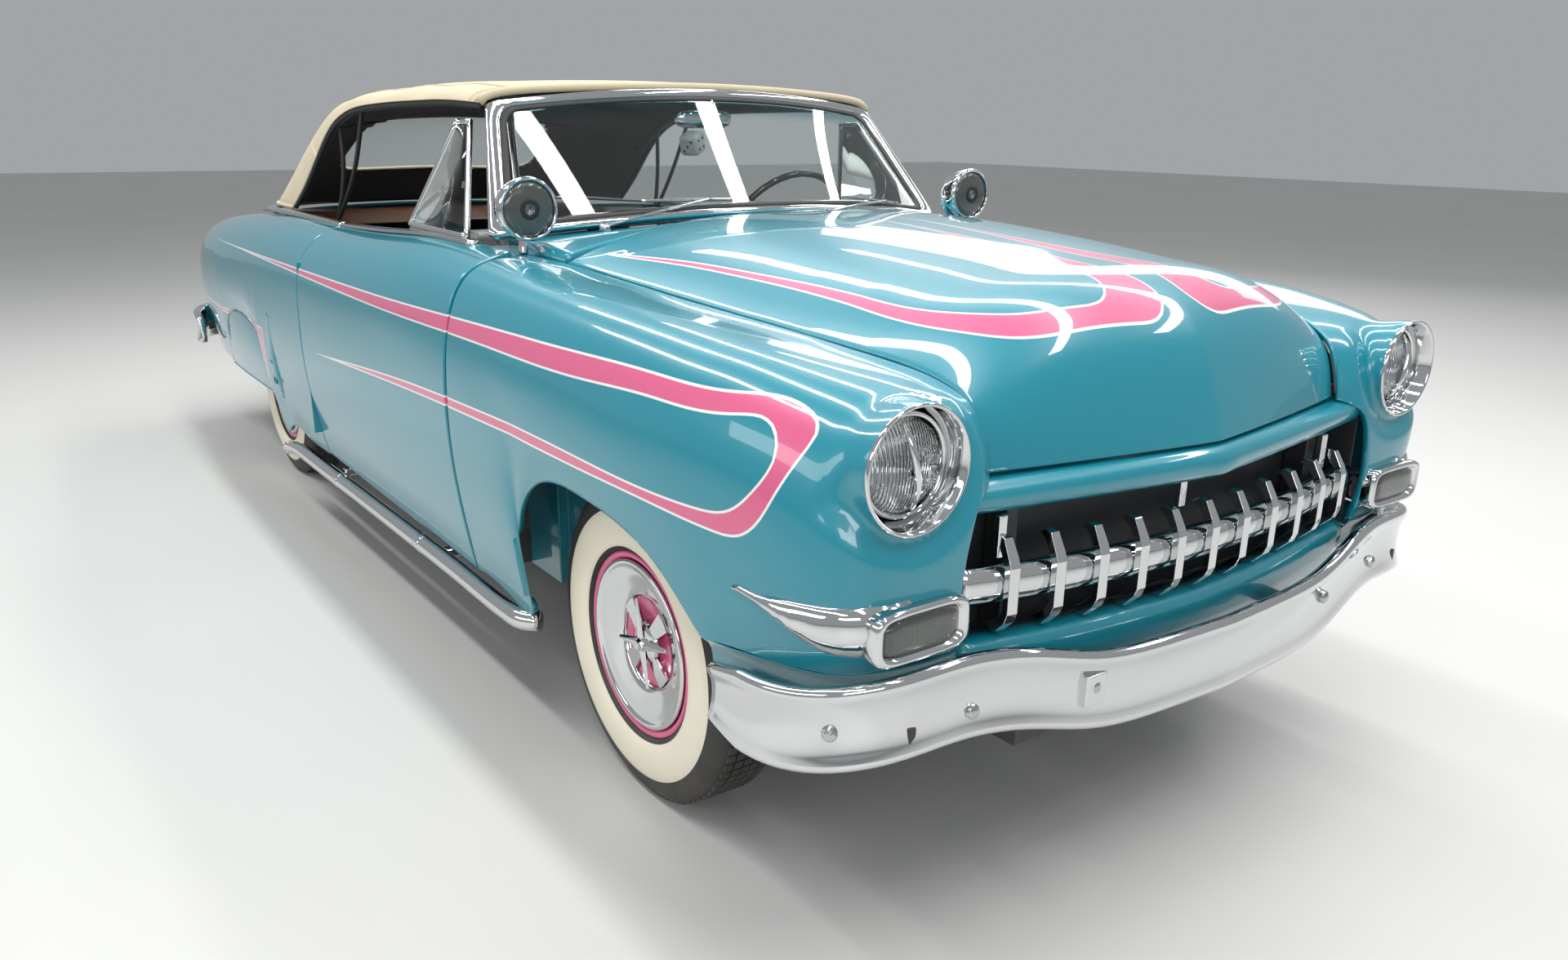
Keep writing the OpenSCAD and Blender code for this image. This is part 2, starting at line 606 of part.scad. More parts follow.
module quarter_panel_left() { quarter_panel(); }
module quarter_panel_right() { mirror([0, 1, 0]) quarter_panel(); }

// Skirt that fills the rear wheel opening, from the arch down to a level hem
skirt_hem_z = 396;
skirt_grid = backward(patch([for (i = [4 : 10]) let (p = quarter_net[i][6], k = p[0] / 382)
  [[rear_x + p[0] * 0.989, half_w - p[1] - 1, p[2] - 2.6 - (i == 4 || i == 10 ? 2 : 0)],
   [rear_x + p[0] * 0.99, half_w - p[1] - 1, (p[2] * 0.5 + skirt_hem_z * 0.5) - 0.5],
   [rear_x + p[0] * 0.985, half_w - 52 - 6 * k * k, skirt_hem_z]]], 2, 2));

module fender_skirts() {
  color("#1794a4") both_sides() panel(skirt_grid, skin_t);
}

// ---- hood, nose and rear deck ----

hood_rear_dx = -522;
// Rows of [x at the side, x in the middle, height at the side, height in the middle]; the side
// follows the fender's edge
hood_rows = [
  [hood_rear_dx, hood_rear_dx, 1076, hood_crown_z], [-420, -420, 1069, 1176],
  [-220, -220, 1057, 1177], [0, 0, 1044, 1168], [242, 242, 1031, 1151], [430, 440, 1015, 1136],
  [540, 575, 999, 1118], [606, 655, 978, 1075], [648, 708, 946, 1008], [672, 742, 896, 925],
  [684, 768, 844, 842]
];
// Inset of the seam between the hood and the fender at a distance dx from the front axle
function seam_inset(dx) = lookup(dx, [for (r = fender_net) [r[0][0], r[0][1]]]);

function hood_row(r) =
  let (edge_y = half_w - seam_inset(r[0]) - panel_gap, rise = r[3] - r[2])
  [for (s = [1, 0.84, 0.62, 0.34, 0])
    [front_x + r[1] + (r[0] - r[1]) * pow(s, 2.4), edge_y * s, r[3] - rise * pow(s, 3)]];

hood_grid = patch(mirrored_rows([for (r = hood_rows) hood_row(r)]), 2, 2);

hood_pin_x = front_x + hood_rear_dx + 2;
hood_pin_z = hood_crown_z - lid_pin_depth;
lid_hinge_y = 40;
lug_w = 14;
eye_r = 6.5;

// A pin between two lugs under a panel; dir is +1 when the panel runs forwards from the pin
module panel_hinge(x, z, dir) {
  for (s = [-1, 1]) translate([x, s * lid_hinge_y, z]) {
    translate([0, -lug_w - 6, 0]) rotate([-90, 0, 0]) cylinder(d = pin_d, h = 2 * lug_w + 12);
    for (t = [-1, 1]) translate([min(0, dir * 26), t * (lug_w + 1) - 5, -pin_d / 2])
      cube([26, 10, lid_pin_depth - skin_t / 2 - 1 + pin_d / 2]);
  }
}

// The fixed eyes round those pins, on an arm of length l away from the panel
module hinge_eyes(x, z, dir, l) {
  for (s = [-1, 1]) translate([x, s * lid_hinge_y - lug_w / 2, z]) difference() {
    union() {
      rotate([-90, 0, 0]) cylinder(r = eye_r, h = lug_w);
      translate([min(0, -dir * l), 0, -eye_r]) cube([l, lug_w, eye_r]);
    }
    translate([0, -1, 0]) rotate([-90, 0, 0]) cylinder(d = pin_d + 2 * bore_play, h = lug_w + 2);
  }
}

module hood() {
  color("#1794a4") {
    panel(hood_grid, skin_t);
    panel_hinge(hood_pin_x, hood_pin_z, 1);
  }
}

// Lip above the grille, as an outline in X and Z at each y
function lip_ring(y) =
  let (s = abs(y) / 520, x = front_x + 784 - 62 * s * s)
  [[x - 92, y, 770], [x - 52, y, 764 + 4 * s], [x - 12, y, 776 + 6 * s], [x, y, 799 + 14 * s],
   [x - 22, y, 829], [x - 92, y, 832]];
function valance_ring(y) =
  let (s = abs(y) / 590, x = front_x + 770 - 50 * s * s)
  [[x - 80, y, 430], [x - 25, y, 430], [x, y, 525 + 15 * s], [x - 20, y, 545 + 15 * s],
   [x - 80, y, 540 + 15 * s]];

module nose_panel() {
  color("#1794a4") {
    loft([for (k = [-5 : 5]) lip_ring(k * 103)]);
    loft([for (k = [-5 : 5]) valance_ring(k * 117)]);
    both_sides() {
      block([front_x + 640, rail_y + 5, 425], [front_x + 700, rail_y + 45, 540]);
      block([front_x + 640, 440, 520], [front_x + 690, 470, 780]);
    }
  }
}

deck_rows = [[-455, 1030, 1005], [-500, 1024, 1000], [-548, 1018, 996]];
lid_rows = [[-562, 1016, 994], [-700, 1000, 981], [-850, 974, 962], [-980, 940, 940],
  [-1080, 895, 905], [-1140, 840, 855], [-1172, 760, 780], [-1186, 690, 700], [-1190, 632, 636]];
function tail_inset(dx) = lookup(dx, [for (k = [16 : -1 : 0]) [quarter_net[k][0][0], quarter_net[k][0][1]]]);
function deck_row(r) =
  let (edge_y = half_w - tail_inset(max(r[0], -1155)) - panel_gap)
  [for (s = [1, 0.8, 0.45, 0]) [rear_x + r[0], edge_y * s, r[1] - (r[1] - r[2]) * s * s]];
deck_grid = flipped(patch(mirrored_rows([for (r = deck_rows) deck_row(r)]), 2, 2));
lid_grid = flipped(patch(mirrored_rows([for (r = lid_rows) deck_row(r)]), 2, 2));
lid_pin_x = rear_x + lid_rows[0][0] - 2;
lid_pin_z = lid_rows[0][1] - lid_pin_depth;

module rear_deck() {
  color("#1794a4") {
    panel(deck_grid, skin_t);
    hinge_eyes(lid_pin_x, lid_pin_z, -1, 60);
    // Bulkhead between the cabin and the trunk
    block([bulkhead_x - 40, -inner_wall_y + floor_t, rear_floor_z + floor_t],
          [bulkhead_x - 28, inner_wall_y - floor_t, 940]);
    block([bulkhead_x - 40, -300, 930], [bulkhead_x - 28, 300, 1018]);
    // Panel below the trunk lid
    block([rear_x - 1184, -632, 450], [rear_x - 1172, 632, 620]);
    block([rear_x - 1173, -632, 470], [trunk_rear_x, 632, 482]);
  }
}

module trunk_lid() {
  color("#1794a4") {
    panel(lid_grid, skin_t);
    panel_hinge(lid_pin_x, lid_pin_z, -1);
  }
}

// ---- bumpers, grille and lamps ----

// A bumper's outline at a point of its path: back, top, bulged face and lower edge
function bumper_ring(p, dir, lift) =
  let (a = p[2], n = [dir * cos(a), sin(a)], c = [p[0], p[1]])
  [for (q = [[-34, 62], [-22, 74], [-8, 66], [0, 20], [0, -20], [-10, -60], [-28, -76], [-34, -62]])
    [c[0] + n[0] * q[0], c[1] + n[1] * q[0], lift + q[1]]];

// Half path from the end at the side to the middle: [distance from the axle, y, turn, height]
front_path = [[445, half_w - 26, 84, 456], [600, half_w - 34, 76, 460], [705, half_w - 78, 55, 478],
  [760, half_w - 155, 35, 492], [788, half_w - 325, 12, 502], [808, 500, 9, 490],
  [829, 362, 7, 458], [845, 180, 4, 446], [front_overhang, 0, 0, 444]];
rear_path = [[-940, half_w - 28, 84, 452], [-1060, half_w - 38, 76, 455],
  [-1160, half_w - 85, 50, 462], [-1205, half_w - 190, 20, 470], [-1225, 560, 8, 474],
  [-1242, 280, 4, 474], [-rear_overhang, 0, 0, 474]];

module bumper(path, axle, dir) {
  half = [for (p = smooth(path, 2)) bumper_ring([axle + p[0], p[1], p[2]], dir, p[3])];
  other = [for (i = [len(half) - 2 : -1 : 0]) [for (p = half[i]) [p[0], -p[1], p[2]]]];
  loft(dir > 0 ? concat(half, other) : [for (r = concat(half, other)) [for (j = [7 : -1 : 0]) r[j]]]);
}

module front_bumper() {
  color("#d8dadd") {
    bumper(front_path, front_x, 1);
    both_sides() {
      block([front_x + 640, rail_y + 5, rail_z + rail_h + 30], [front_x + 700, rail_y + 45, 425]);
      block([front_x + 690, rail_y + 5, 388], [front_x + 806, rail_y + 45, 425]);
    }
  }
}

plate_x = rear_x - 1212;
plate_z = 645;

module rear_bumper() {
  color("#d8dadd") {
    bumper(rear_path, rear_x, -1);
    both_sides() block([rear_x - 1226, rail_y + 5, rail_z + rail_h],
                       [rear_x - 1130, rail_y + 45, 430]);
    difference() {
      union() {
        block([plate_x - 4, -160, plate_z - 75], [plate_x, 160, plate_z + 75]);
        both_sides() block([plate_x - 4, 60, 530], [plate_x, 90, plate_z]);
      }
      for (y = [-0.5, 0.5], z = [-0.5, 0.5])
        translate([plate_x - 10, y * plate_hole_x, plate_z + z * plate_hole_z]) rotate([0, 90, 0])
          cylinder(d = plate_hole_d, h = 20);
    }
  }
}

bar_r = 3300;
bar_x = front_x + 770;
bar_z = 655;

module grille() {
  color("#d8dadd") {
    translate([bar_x - bar_r, 0, bar_z]) rotate([0, 0, -10.3]) rotate_extrude(angle = 20.6, $fn = 300)
      polygon([[bar_r - 44, -26], [bar_r - 40, 26], [bar_r - 24, 36], [bar_r - 8, 30],
               [bar_r, 12], [bar_r, -12], [bar_r - 8, -30], [bar_r - 24, -36]]);
    for (k = [0 : tooth_count - 1])
      let (y = (k - (tooth_count - 1) / 2) * 1100 / tooth_count, x = bar_x - y * y / (2 * bar_r))
        translate([x, y + tooth_w / 2, bar_z]) rotate([90, 0, 0]) linear_extrude(tooth_w)
          polygon([[-40, 76], [-10, 88], [14, 40], [14, -52], [-26, -92], [-44, -78], [-20, -40],
                   [-20, 30]]);
    both_sides() block([front_x + 690, 440, bar_z - 22], [front_x + 708, 470, bar_z + 22]);
  }
}

module headlights() {
  color("#d8dadd") both_sides() translate([headlight_x, headlight_y, headlight_z]) rotate([0, 90, 0])
    rotate_extrude() polygon([[0, 0], [60, 0], [headlight_d / 2 - seat_gap, 40],
      [headlight_d / 2 - seat_gap, 92], [headlight_d / 2 - 8, 98], [headlight_d / 2 - 14, 74],
      [50, 88], [0, 94]]);
}

pod_y = half_w - 238;
// The wing lies on the fender's own grid, along the line where its column is wing_col
wing_col = 10;
wing_first = 19;
wing_half = [0.04, 0.2, 0.34, 0.42, 0.44, 0.44];
function on_row(row, c) = row[floor(c)] + (row[ceil(c)] - row[floor(c)]) * (c - floor(c));
wing_base = [for (k = [0 : 5]) [for (t = [-1, 0, 1])
  on_row(fender_grid[wing_first + k], wing_col + t * wing_half[k])]];
wing_face = [for (i = [0 : 5]) [for (j = [0 : 2])
  wing_base[i][j] + (j == 1 ? 24 - 14 / (i + 1) : 3) * grid_normal(wing_base, i, j)]];

module parking_lamps() {
  color("#d8dadd") both_sides() {
    // Rounded pod in front of the fender
    translate([front_x + 737.5, pod_y, 632]) rotate([0, 90, 0]) linear_extrude(22)
      offset(14) square([52, 128], center = true);
    // Leaf-shaped wing round the corner of the fender
    grid_solid(wing_face, grid_offset(wing_base, 1));
  }
}

tail_lamp_y = half_w - 215;
tail_lamp_z = 740;

module tail_lamps() {
  color("#b01818") both_sides() translate([rear_x - 1183.9, tail_lamp_y, tail_lamp_z])
    rotate([0, -90, 0]) rotate_extrude() polygon([[0, 0], [tail_lamp_d / 2, 0],
      [tail_lamp_d / 2, 12], [tail_lamp_d / 2 - 20, 30], [0, 38]]);
}

// ---- windshield and soft top ----

// A point on the windshield: u from -1 to 1 across, v from 0 at the base to 1 at the top
function shield(u, v) =
  let (base = [glass_base_x + (glass_base_corner[0] - glass_base_x) * u * u, glass_base_corner[1] * u,
               glass_base_z + (glass_base_corner[2] - glass_base_z) * u * u],
       top = [glass_top_x + (glass_top_corner[0] - glass_top_x) * u * u, glass_top_corner[1] * u,
              glass_top_z + (glass_top_corner[2] - glass_top_z) * u * u])
  base + (top - base) * v;

frame_u = [-1, -0.935, -0.7, -0.45, -0.22, 0, 0.22, 0.45, 0.7, 0.935, 1];
frame_v = [0, 0.06, 0.35, 0.65, 0.94, 1];
shield_grid = [for (v = frame_v) [for (u = frame_u) shield(u, v)]];
glass_edge = 0.003;
glass_grid = [for (v = [0.06 + glass_edge, 0.35, 0.65, 0.94 - glass_edge])
  [for (u = [-0.932, -0.7, -0.45, -0.22, 0, 0.22, 0.45, 0.7, 0.932]) shield(u, v)]];

module windshield_frame() {
  color("#d8dadd") {
    grid_solid(grid_offset(shield_grid, 14), grid_offset(shield_grid, -14), [1, 4, 1, 9]);
  }
}

// Rows of the canvas from the header to the rear hem, each from the side to the middle, as
// [distance from the front axle, y, height]
canvas_net = [
  [[-1052, 648, 1429], [-1048, 614, 1451], [-1030, 462, 1468], [-1008, 242, 1478], [-1000, 0, 1482]],
  [[-1300, 656, 1438], [-1300, 622, 1466], [-1300, 480, 1487], [-1300, 250, 1498], [-1300, 0, 1502]],
  [[-1700, 660, 1434], [-1700, 626, 1464], [-1700, 480, 1491], [-1700, 250, 1503], [-1700, 0, 1507]],
  [[-2090, 662, 1416], [-2100, 628, 1452], [-2100, 480, 1481], [-2100, 250, 1495], [-2100, 0, 1499]],
  [[-2330, 668, 1360], [-2400, 628, 1415], [-2440, 480, 1450], [-2455, 250, 1465], [-2460, 0, 1470]],
  [[-2500, 680, 1255], [-2660, 644, 1310], [-2760, 500, 1360], [-2800, 270, 1390], [-2810, 0, 1400]],
  [[-2640, 694, 1150], [-2870, 668, 1180], [-3030, 540, 1215], [-3105, 300, 1240], [-3125, 0, 1250]],
  [[-2790, 708, 1058], [-3080, 690, 1052], [-3300, 590, 1046], [-3410, 330, 1043], [-3440, 0, 1042]]
];
canvas_side = [for (r = canvas_net) [for (p = r) [front_x + p[0], p[1], p[2]]]];
canvas_grid = flipped(patch(mirrored_rows(canvas_side), 3, 2));
// Cells of the canvas left out for the rear window
window_cells = [15, 19, 5, 11];

module soft_top() {
  color("#d5c8a4") panel(canvas_grid, canvas_t, window_cells);
}

module fixed_glass() {
  color("#9fc4c4") {
    grid_solid(grid_offset(glass_grid, 3), grid_offset(glass_grid, -3));
    // Rear window, sewn in behind its opening
    grid_solid(grid_offset(sub_grid(canvas_grid, 14, 20, 4, 12), -canvas_t - seat_gap),
               grid_offset(sub_grid(canvas_grid, 14, 20, 4, 12), -canvas_t - seat_gap - 3));
  }
}

rail_r = 9;
rail_inset = canvas_t + rail_r + 1;
bow_rows = [5, 9, 12];
rail_in = 6;

module top_frame() {
  last = len(canvas_grid[0]) - 1;
  inner = grid_offset(canvas_grid, -rail_inset);
  color("#1d1d1d") {
    both_sides() tube([for (i = [1 : 20]) inner[i][0] - [0, rail_in, 0]], rail_r, 6);
    for (i = bow_rows) tube([for (j = [0 : last]) inner[i][j] + (j == 0 ? [0, -rail_in, 0] :
      j == last ? [0, rail_in, 0] : [0, 0, 0])], rail_r, 6);
  }
}

// ---- cabin ----

wheel_hub = [front_x - 1130, 380, 1060];
steering_tilt = 60;

dash_w = 1250;

module steering_column() {
  difference() {
    translate(wheel_hub) rotate([0, -steering_tilt, 0]) translate([0, 0, -760])
      cylinder(r = 22, h = 740);
    block([firewall_x - 1, 300, 500], [firewall_x + 200, 460, 900]);
  }
}

module dashboard() {
  color("#2e3133") {
    loft([for (k = [-5 : 5]) let (y = k * dash_w / 10, x = firewall_x - 150 - 40 * abs(k) / 5)
      [[x - 20, y, 1038], [x - 60, y, 1005], [x - 50, y, 930], [x - 10, y, 880],
       [firewall_x - 1, y, 900], [firewall_x - 1, y, 1032]]]);
    steering_column();
  }
}

module steering_wheel() {
  r = steering_d / 2;
  color("#151515") translate(wheel_hub) rotate([0, -steering_tilt, 0]) {
    rotate_extrude() translate([r - 11, 0]) circle(r = 11);
    translate([0, 0, -19.5]) cylinder(r = 38, h = 32);
    for (a = [80, 280]) rotate([0, 0, a]) block([20, -9, -12], [r - 11, 9, -2]);
  }
}

module seat_part(outline, w) {
  translate([0, w / 2, 0]) rotate([90, 0, 0]) linear_extrude(w) offset(30) offset(-30)
    polygon([for (p = outline) [front_x + p[0], p[1]]]);
}

front_seat_w = 1300;
rear_seat_w = 1120;

module front_seat() {
  color("#c9cbc8") {
    seat_part([[-1360, 470], [-1350, 610], [-1400, 650], [-1850, 600], [-1850, 420]], front_seat_w);
    seat_part([[-1840, 602], [-1755, 640], [-1840, seat_back_z], [-1930, seat_back_z],
               [-1990, 520], [-1850, 420]], front_seat_w);
  }
  color("#2b2b2b") both_sides() block([front_x - 1800, 380, floor_z + floor_t],
                                      [front_x - 1450, 430, 480]);
}

module rear_seat() {
  low = rear_floor_z + floor_t + seat_gap;
  color("#c9cbc8") {
    seat_part([[-2215, low], [-2205, 600], [-2255, 640], [-2740, 600], [-2740, low]], rear_seat_w);
    seat_part([[-2730, 600], [-2650, 640], [-2760, 960], [-2840, 990], [-2900, 960], [-2860, low],
               [-2730, low]], rear_seat_w);
  }
}

// ---- side fittings ----

lamp_at = [front_x - 650, 716, 1190];

vent_x = front_x - 905;
vent_l = 425;
vent_z = 1104;

// Foot of the vent window's frame in the top of the door, larger all round by play
module vent_foot(play) {
  block([vent_x - vent_l + 6 - play, half_w - 186 - play, vent_z - 44 - play],
        [vent_x - 6 + play, half_w - 176 + play, vent_z - 2]);
}

module vent_window() {
  base = [vent_x, half_w - 172, vent_z];
  color("#d8dadd") vent_foot(0);
  color("#d8dadd") translate(base) rotate([21, 0, 0]) rotate([90, 0, 0]) difference() {
    linear_extrude(16) polygon([[0, 0], [-195, 308], [-285, 308], [-vent_l, 0]]);
    for (z = [-15, 11]) translate([0, 0, z]) linear_extrude(20)
      polygon([[-32, 18], [-206, 290], [-268, 290], [-395, 18]]);
  }
}

module vent_window_left() { vent_window(); }
module vent_window_right() { mirror([0, 1, 0]) vent_window(); }

module spotlights() {
  color("#d8dadd") both_sides() {
    translate(lamp_at) rotate([0, 90, 0]) rotate_extrude() polygon([[0, -85], [35, -75], [62, -40],
      [72, 0], [74, 20], [66, 24], [0, 30]]);
    translate([lamp_at[0] - 28, lamp_at[1], pillar_foot_z + seat_gap])
      cylinder(r = 9, h = lamp_at[2] - 45 - pillar_foot_z);
  }
}

pipe_route = [[-348, -32, 4], [-374, -10, 2], [-430, 0, 0], [-700, 0, -2], [-1060, 0, -6],
  [-1660, 0, -16], [-2090, 0, -24], [-2330, 0, -36], [-2430, 0, -56]];
pipe_z = 284;
pipe_y = half_w - 42;

module side_pipes() {
  color("#d8dadd") both_sides() {
    tube(smooth([for (p = pipe_route) [front_x + p[0], pipe_y + p[1], pipe_z + p[2]]], 2), pipe_d / 2,
         12);
    for (x = [-900, -1800]) block([front_x + x - 15, sill_outer_y - 30, 276],
                                  [front_x + x + 15, pipe_y, 300]);
  }
}

chassis_frame();
front_suspension();
knuckle_left();
knuckle_right();
rear_axle();
engine_and_radiator();
floor_and_walls();
cowl();
front_fender_left();
front_fender_right();
hood();
nose_panel();
grille();
front_bumper();
rear_bumper();
headlights();
parking_lamps();
door_left();
door_right();
vent_window_left();
vent_window_right();
quarter_panel_left();
quarter_panel_right();
fender_skirts();
rear_deck();
trunk_lid();
tail_lamps();
windshield_frame();
fixed_glass();
soft_top();
top_frame();
dashboard();
steering_wheel();
front_seat();
rear_seat();
spotlights();
side_pipes();
tyre_front_left();
tyre_front_right();
tyre_rear_left();
tyre_rear_right();
wheel_front_left();
wheel_front_right();
wheel_rear_left();
wheel_rear_right();
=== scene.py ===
# %% [markdown]
# # A 1950s convertible, piece by piece
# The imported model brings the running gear, the floor and the bodies that the joints move. This
# lesson dresses it: pressed body panels, chrome, tyres, cloth and glass, each as its own piece.

# %% Open the frame
import bpy
import bmesh
import math
import numpy as np
from mathutils import Matrix, Vector


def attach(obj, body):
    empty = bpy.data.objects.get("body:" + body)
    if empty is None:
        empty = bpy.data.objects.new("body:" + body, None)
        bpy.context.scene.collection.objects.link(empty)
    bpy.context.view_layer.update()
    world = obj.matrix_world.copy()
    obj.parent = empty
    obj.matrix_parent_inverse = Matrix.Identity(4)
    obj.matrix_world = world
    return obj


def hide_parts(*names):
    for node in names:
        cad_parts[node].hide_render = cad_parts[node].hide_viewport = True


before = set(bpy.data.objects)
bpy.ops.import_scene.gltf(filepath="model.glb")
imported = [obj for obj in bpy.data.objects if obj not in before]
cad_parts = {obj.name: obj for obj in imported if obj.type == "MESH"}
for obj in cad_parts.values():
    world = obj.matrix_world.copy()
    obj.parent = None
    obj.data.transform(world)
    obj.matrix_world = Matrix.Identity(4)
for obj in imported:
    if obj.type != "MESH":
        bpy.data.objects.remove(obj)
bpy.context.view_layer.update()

# %% [markdown]
# The camera stands at the right front corner, a little above the hood, with a wide lens. Its turn
# is built from three directions: forwards, to the right and up.

# %% Camera
yaw, pitch, roll = math.radians(144.178), math.radians(-18.045), 0.0128
forwards = Vector((math.cos(pitch) * math.cos(yaw), math.cos(pitch) * math.sin(yaw), math.sin(pitch)))
right = forwards.cross(Vector((0, 0, 1))).normalized()
up = right.cross(forwards)
right, up = (right * math.cos(roll) + up * math.sin(roll), up * math.cos(roll) - right * math.sin(roll))
camera = bpy.data.objects.new("camera", bpy.data.cameras.new("camera"))
bpy.context.scene.collection.objects.link(camera)
camera.matrix_world = Matrix((right, up, -forwards)).transposed().to_4x4()
camera.location = (3.640, -1.890, 1.393)
camera.data.lens = 26.89
camera.data.shift_x, camera.data.shift_y = 0.0071, 0.0142
bpy.context.scene.camera = camera

# %% [markdown]
# Light comes from four long strips overhead, as in a showroom, so that paint and chrome get long
# reflections. Three panels at the walls fill the sides, and the floor is plain and pale.

# %% Studio
def area_light(name, place, aim, size, power, colour=(1, 1, 1)):
    lamp = bpy.data.lights.new(name, "AREA")
    lamp.shape, lamp.size, lamp.size_y = "RECTANGLE", size[0], size[1]
    lamp.energy, lamp.color = power, colour
    holder = bpy.data.objects.new(name, lamp)
    bpy.context.scene.collection.objects.link(holder)
    holder.location = place
    holder.rotation_euler = (Vector(aim) - Vector(place)).to_track_quat("-Z", "Y").to_euler()


for n, y in enumerate((-2.6, -0.4, 1.8, 4.0)):
    area_light(f"ceiling_{n}", (0.4, y, 4.4), (0.4, y, 0), (9, 0.28), 150)
area_light("front_wall", (8.5, -4.5, 3.6), (0, 0, 0.7), (5, 1.6), 140)
area_light("side_wall", (0.5, -9, 4.0), (0, 0, 0.6), (9, 1.6), 150)
area_light("far_wall", (-3, 8, 4.0), (0, 0, 0.6), (9, 1.6), 110)
world = bpy.data.worlds.new("studio")
bpy.context.scene.world = world
world.use_nodes = True
world.node_tree.nodes["Background"].inputs["Color"].default_value = (0.86, 0.89, 0.92, 1)
world.node_tree.nodes["Background"].inputs["Strength"].default_value = 0.42
bpy.context.scene.view_settings.view_transform = "Standard"

# %% [markdown]
# ## Finishes
# Every finish is a small node tree. Effects that several finishes share, such as the ripple in
# sprayed paint, the weave of cloth, the grain of hide and road dust, are node groups built once.

# %% Node helpers
def add_node(tree, kind, inputs=None, **settings):
    node = tree.nodes.new(kind)
    for key, value in settings.items():
        setattr(node, key, value)
    for key, value in (inputs or {}).items():
        if isinstance(value, bpy.types.NodeSocket):
            tree.links.new(value, node.inputs[key])
        else:
            node.inputs[key].default_value = value
    return node


def math_node(tree, operation, a, b=0.0, c=0.0, clamp=False):
    return add_node(tree, "ShaderNodeMath", {0: a, 1: b, 2: c}, operation=operation,
                    use_clamp=clamp).outputs[0]


def mix_colour(tree, mask, a, b):
    node = add_node(tree, "ShaderNodeMix", data_type="RGBA")
    for name, value in (("Factor_Float", mask), ("A_Color", a), ("B_Color", b)):
        socket = next(s for s in node.inputs if s.identifier == name)
        if isinstance(value, bpy.types.NodeSocket):
            tree.links.new(value, socket)
        else:
            socket.default_value = value if name == "Factor_Float" else (*value[:3], 1)
    return next(s for s in node.outputs if s.identifier == "Result_Color")


def new_group(name, inputs, outputs):
    group = bpy.data.node_groups.new(name, "ShaderNodeTree")
    for label, value in inputs.items():
        kind = "NodeSocketVector" if label == "Place" else "NodeSocketFloat"
        socket = group.interface.new_socket(label, in_out="INPUT", socket_type=kind)
        if kind == "NodeSocketFloat":
            socket.default_value = value
    for label in outputs:
        group.interface.new_socket(label, in_out="OUTPUT", socket_type="NodeSocketFloat")
    return group, group.nodes.new("NodeGroupInput").outputs, group.nodes.new("NodeGroupOutput").inputs


def use_group(tree, group, **inputs):
    node = add_node(tree, "ShaderNodeGroup")
    node.node_tree = group
    for label, value in inputs.items():
        if isinstance(value, bpy.types.NodeSocket):
            tree.links.new(value, node.inputs[label])
        else:
            node.inputs[label].default_value = value
    return node.outputs


def tied(tree, value, socket):
    tree.links.new(value, socket)


# %% Shared effects
ripple, given, out = new_group("sprayed_ripple", {"Place": 0, "Size": 160.0}, ["Height"])
wave = add_node(ripple, "ShaderNodeTexNoise", {"Vector": given["Place"], "Scale": given["Size"],
                                               "Detail": 1.0})
tied(ripple, wave.outputs[0], out["Height"])

dust, given, out = new_group("road_dust", {"Place": 0, "Low": 0.25, "High": 0.6, "Amount": 0.3}, ["Mask"])
height = add_node(dust, "ShaderNodeSeparateXYZ", {0: given["Place"]}).outputs["Z"]
speckle = add_node(dust, "ShaderNodeTexNoise", {"Vector": given["Place"], "Scale": 14.0, "Detail": 6.0})
falling = add_node(dust, "ShaderNodeMapRange", {0: height, 1: given["High"], 2: given["Low"]}).outputs[0]
broken = math_node(dust, "MULTIPLY", speckle.outputs[0], falling)
tied(dust, math_node(dust, "MULTIPLY", broken, given["Amount"], clamp=True), out["Mask"])

scuffs, given, out = new_group("fine_scuffs", {"Place": 0, "Size": 30.0, "Amount": 0.1},
                               ["Value", "Height"])
broad = add_node(scuffs, "ShaderNodeTexNoise", {"Vector": given["Place"], "Scale": given["Size"],
                                                "Detail": 5.0, "Roughness": 0.7})
lines = add_node(scuffs, "ShaderNodeTexVoronoi", {"Vector": given["Place"], "Scale": 420.0},
                 feature="DISTANCE_TO_EDGE")
tied(scuffs, math_node(scuffs, "MULTIPLY", broad.outputs[0], given["Amount"]), out["Value"])
tied(scuffs, lines.outputs[0], out["Height"])

weave, given, out = new_group("cloth_weave", {"Place": 0, "Threads": 700.0}, ["Height", "Shade"])
turned = add_node(weave, "ShaderNodeMapping", {"Vector": given["Place"], "Rotation": (0.0, 0.0, 0.0)})
warp = add_node(weave, "ShaderNodeTexWave", {"Vector": turned.outputs[0], "Scale": given["Threads"],
                                             "Distortion": 0.4}, bands_direction="X")
weft = add_node(weave, "ShaderNodeTexWave", {"Vector": turned.outputs[0], "Scale": given["Threads"],
                                             "Distortion": 0.4}, bands_direction="Y")
cross = math_node(weave, "MAXIMUM", warp.outputs[1], weft.outputs[1])
blotch = add_node(weave, "ShaderNodeTexNoise", {"Vector": given["Place"], "Scale": 9.0, "Detail": 8.0})
tied(weave, cross, out["Height"])
tied(weave, blotch.outputs[0], out["Shade"])

grain, given, out = new_group("hide_grain", {"Place": 0, "Size": 520.0}, ["Height", "Shade"])
cells = add_node(grain, "ShaderNodeTexVoronoi", {"Vector": given["Place"], "Scale": given["Size"]},
                 feature="SMOOTH_F1")
mottle = add_node(grain, "ShaderNodeTexNoise", {"Vector": given["Place"], "Scale": 11.0, "Detail": 5.0})
tied(grain, cells.outputs[0], out["Height"])
tied(grain, mottle.outputs[0], out["Shade"])
print("shared effects:", len(bpy.data.node_groups))

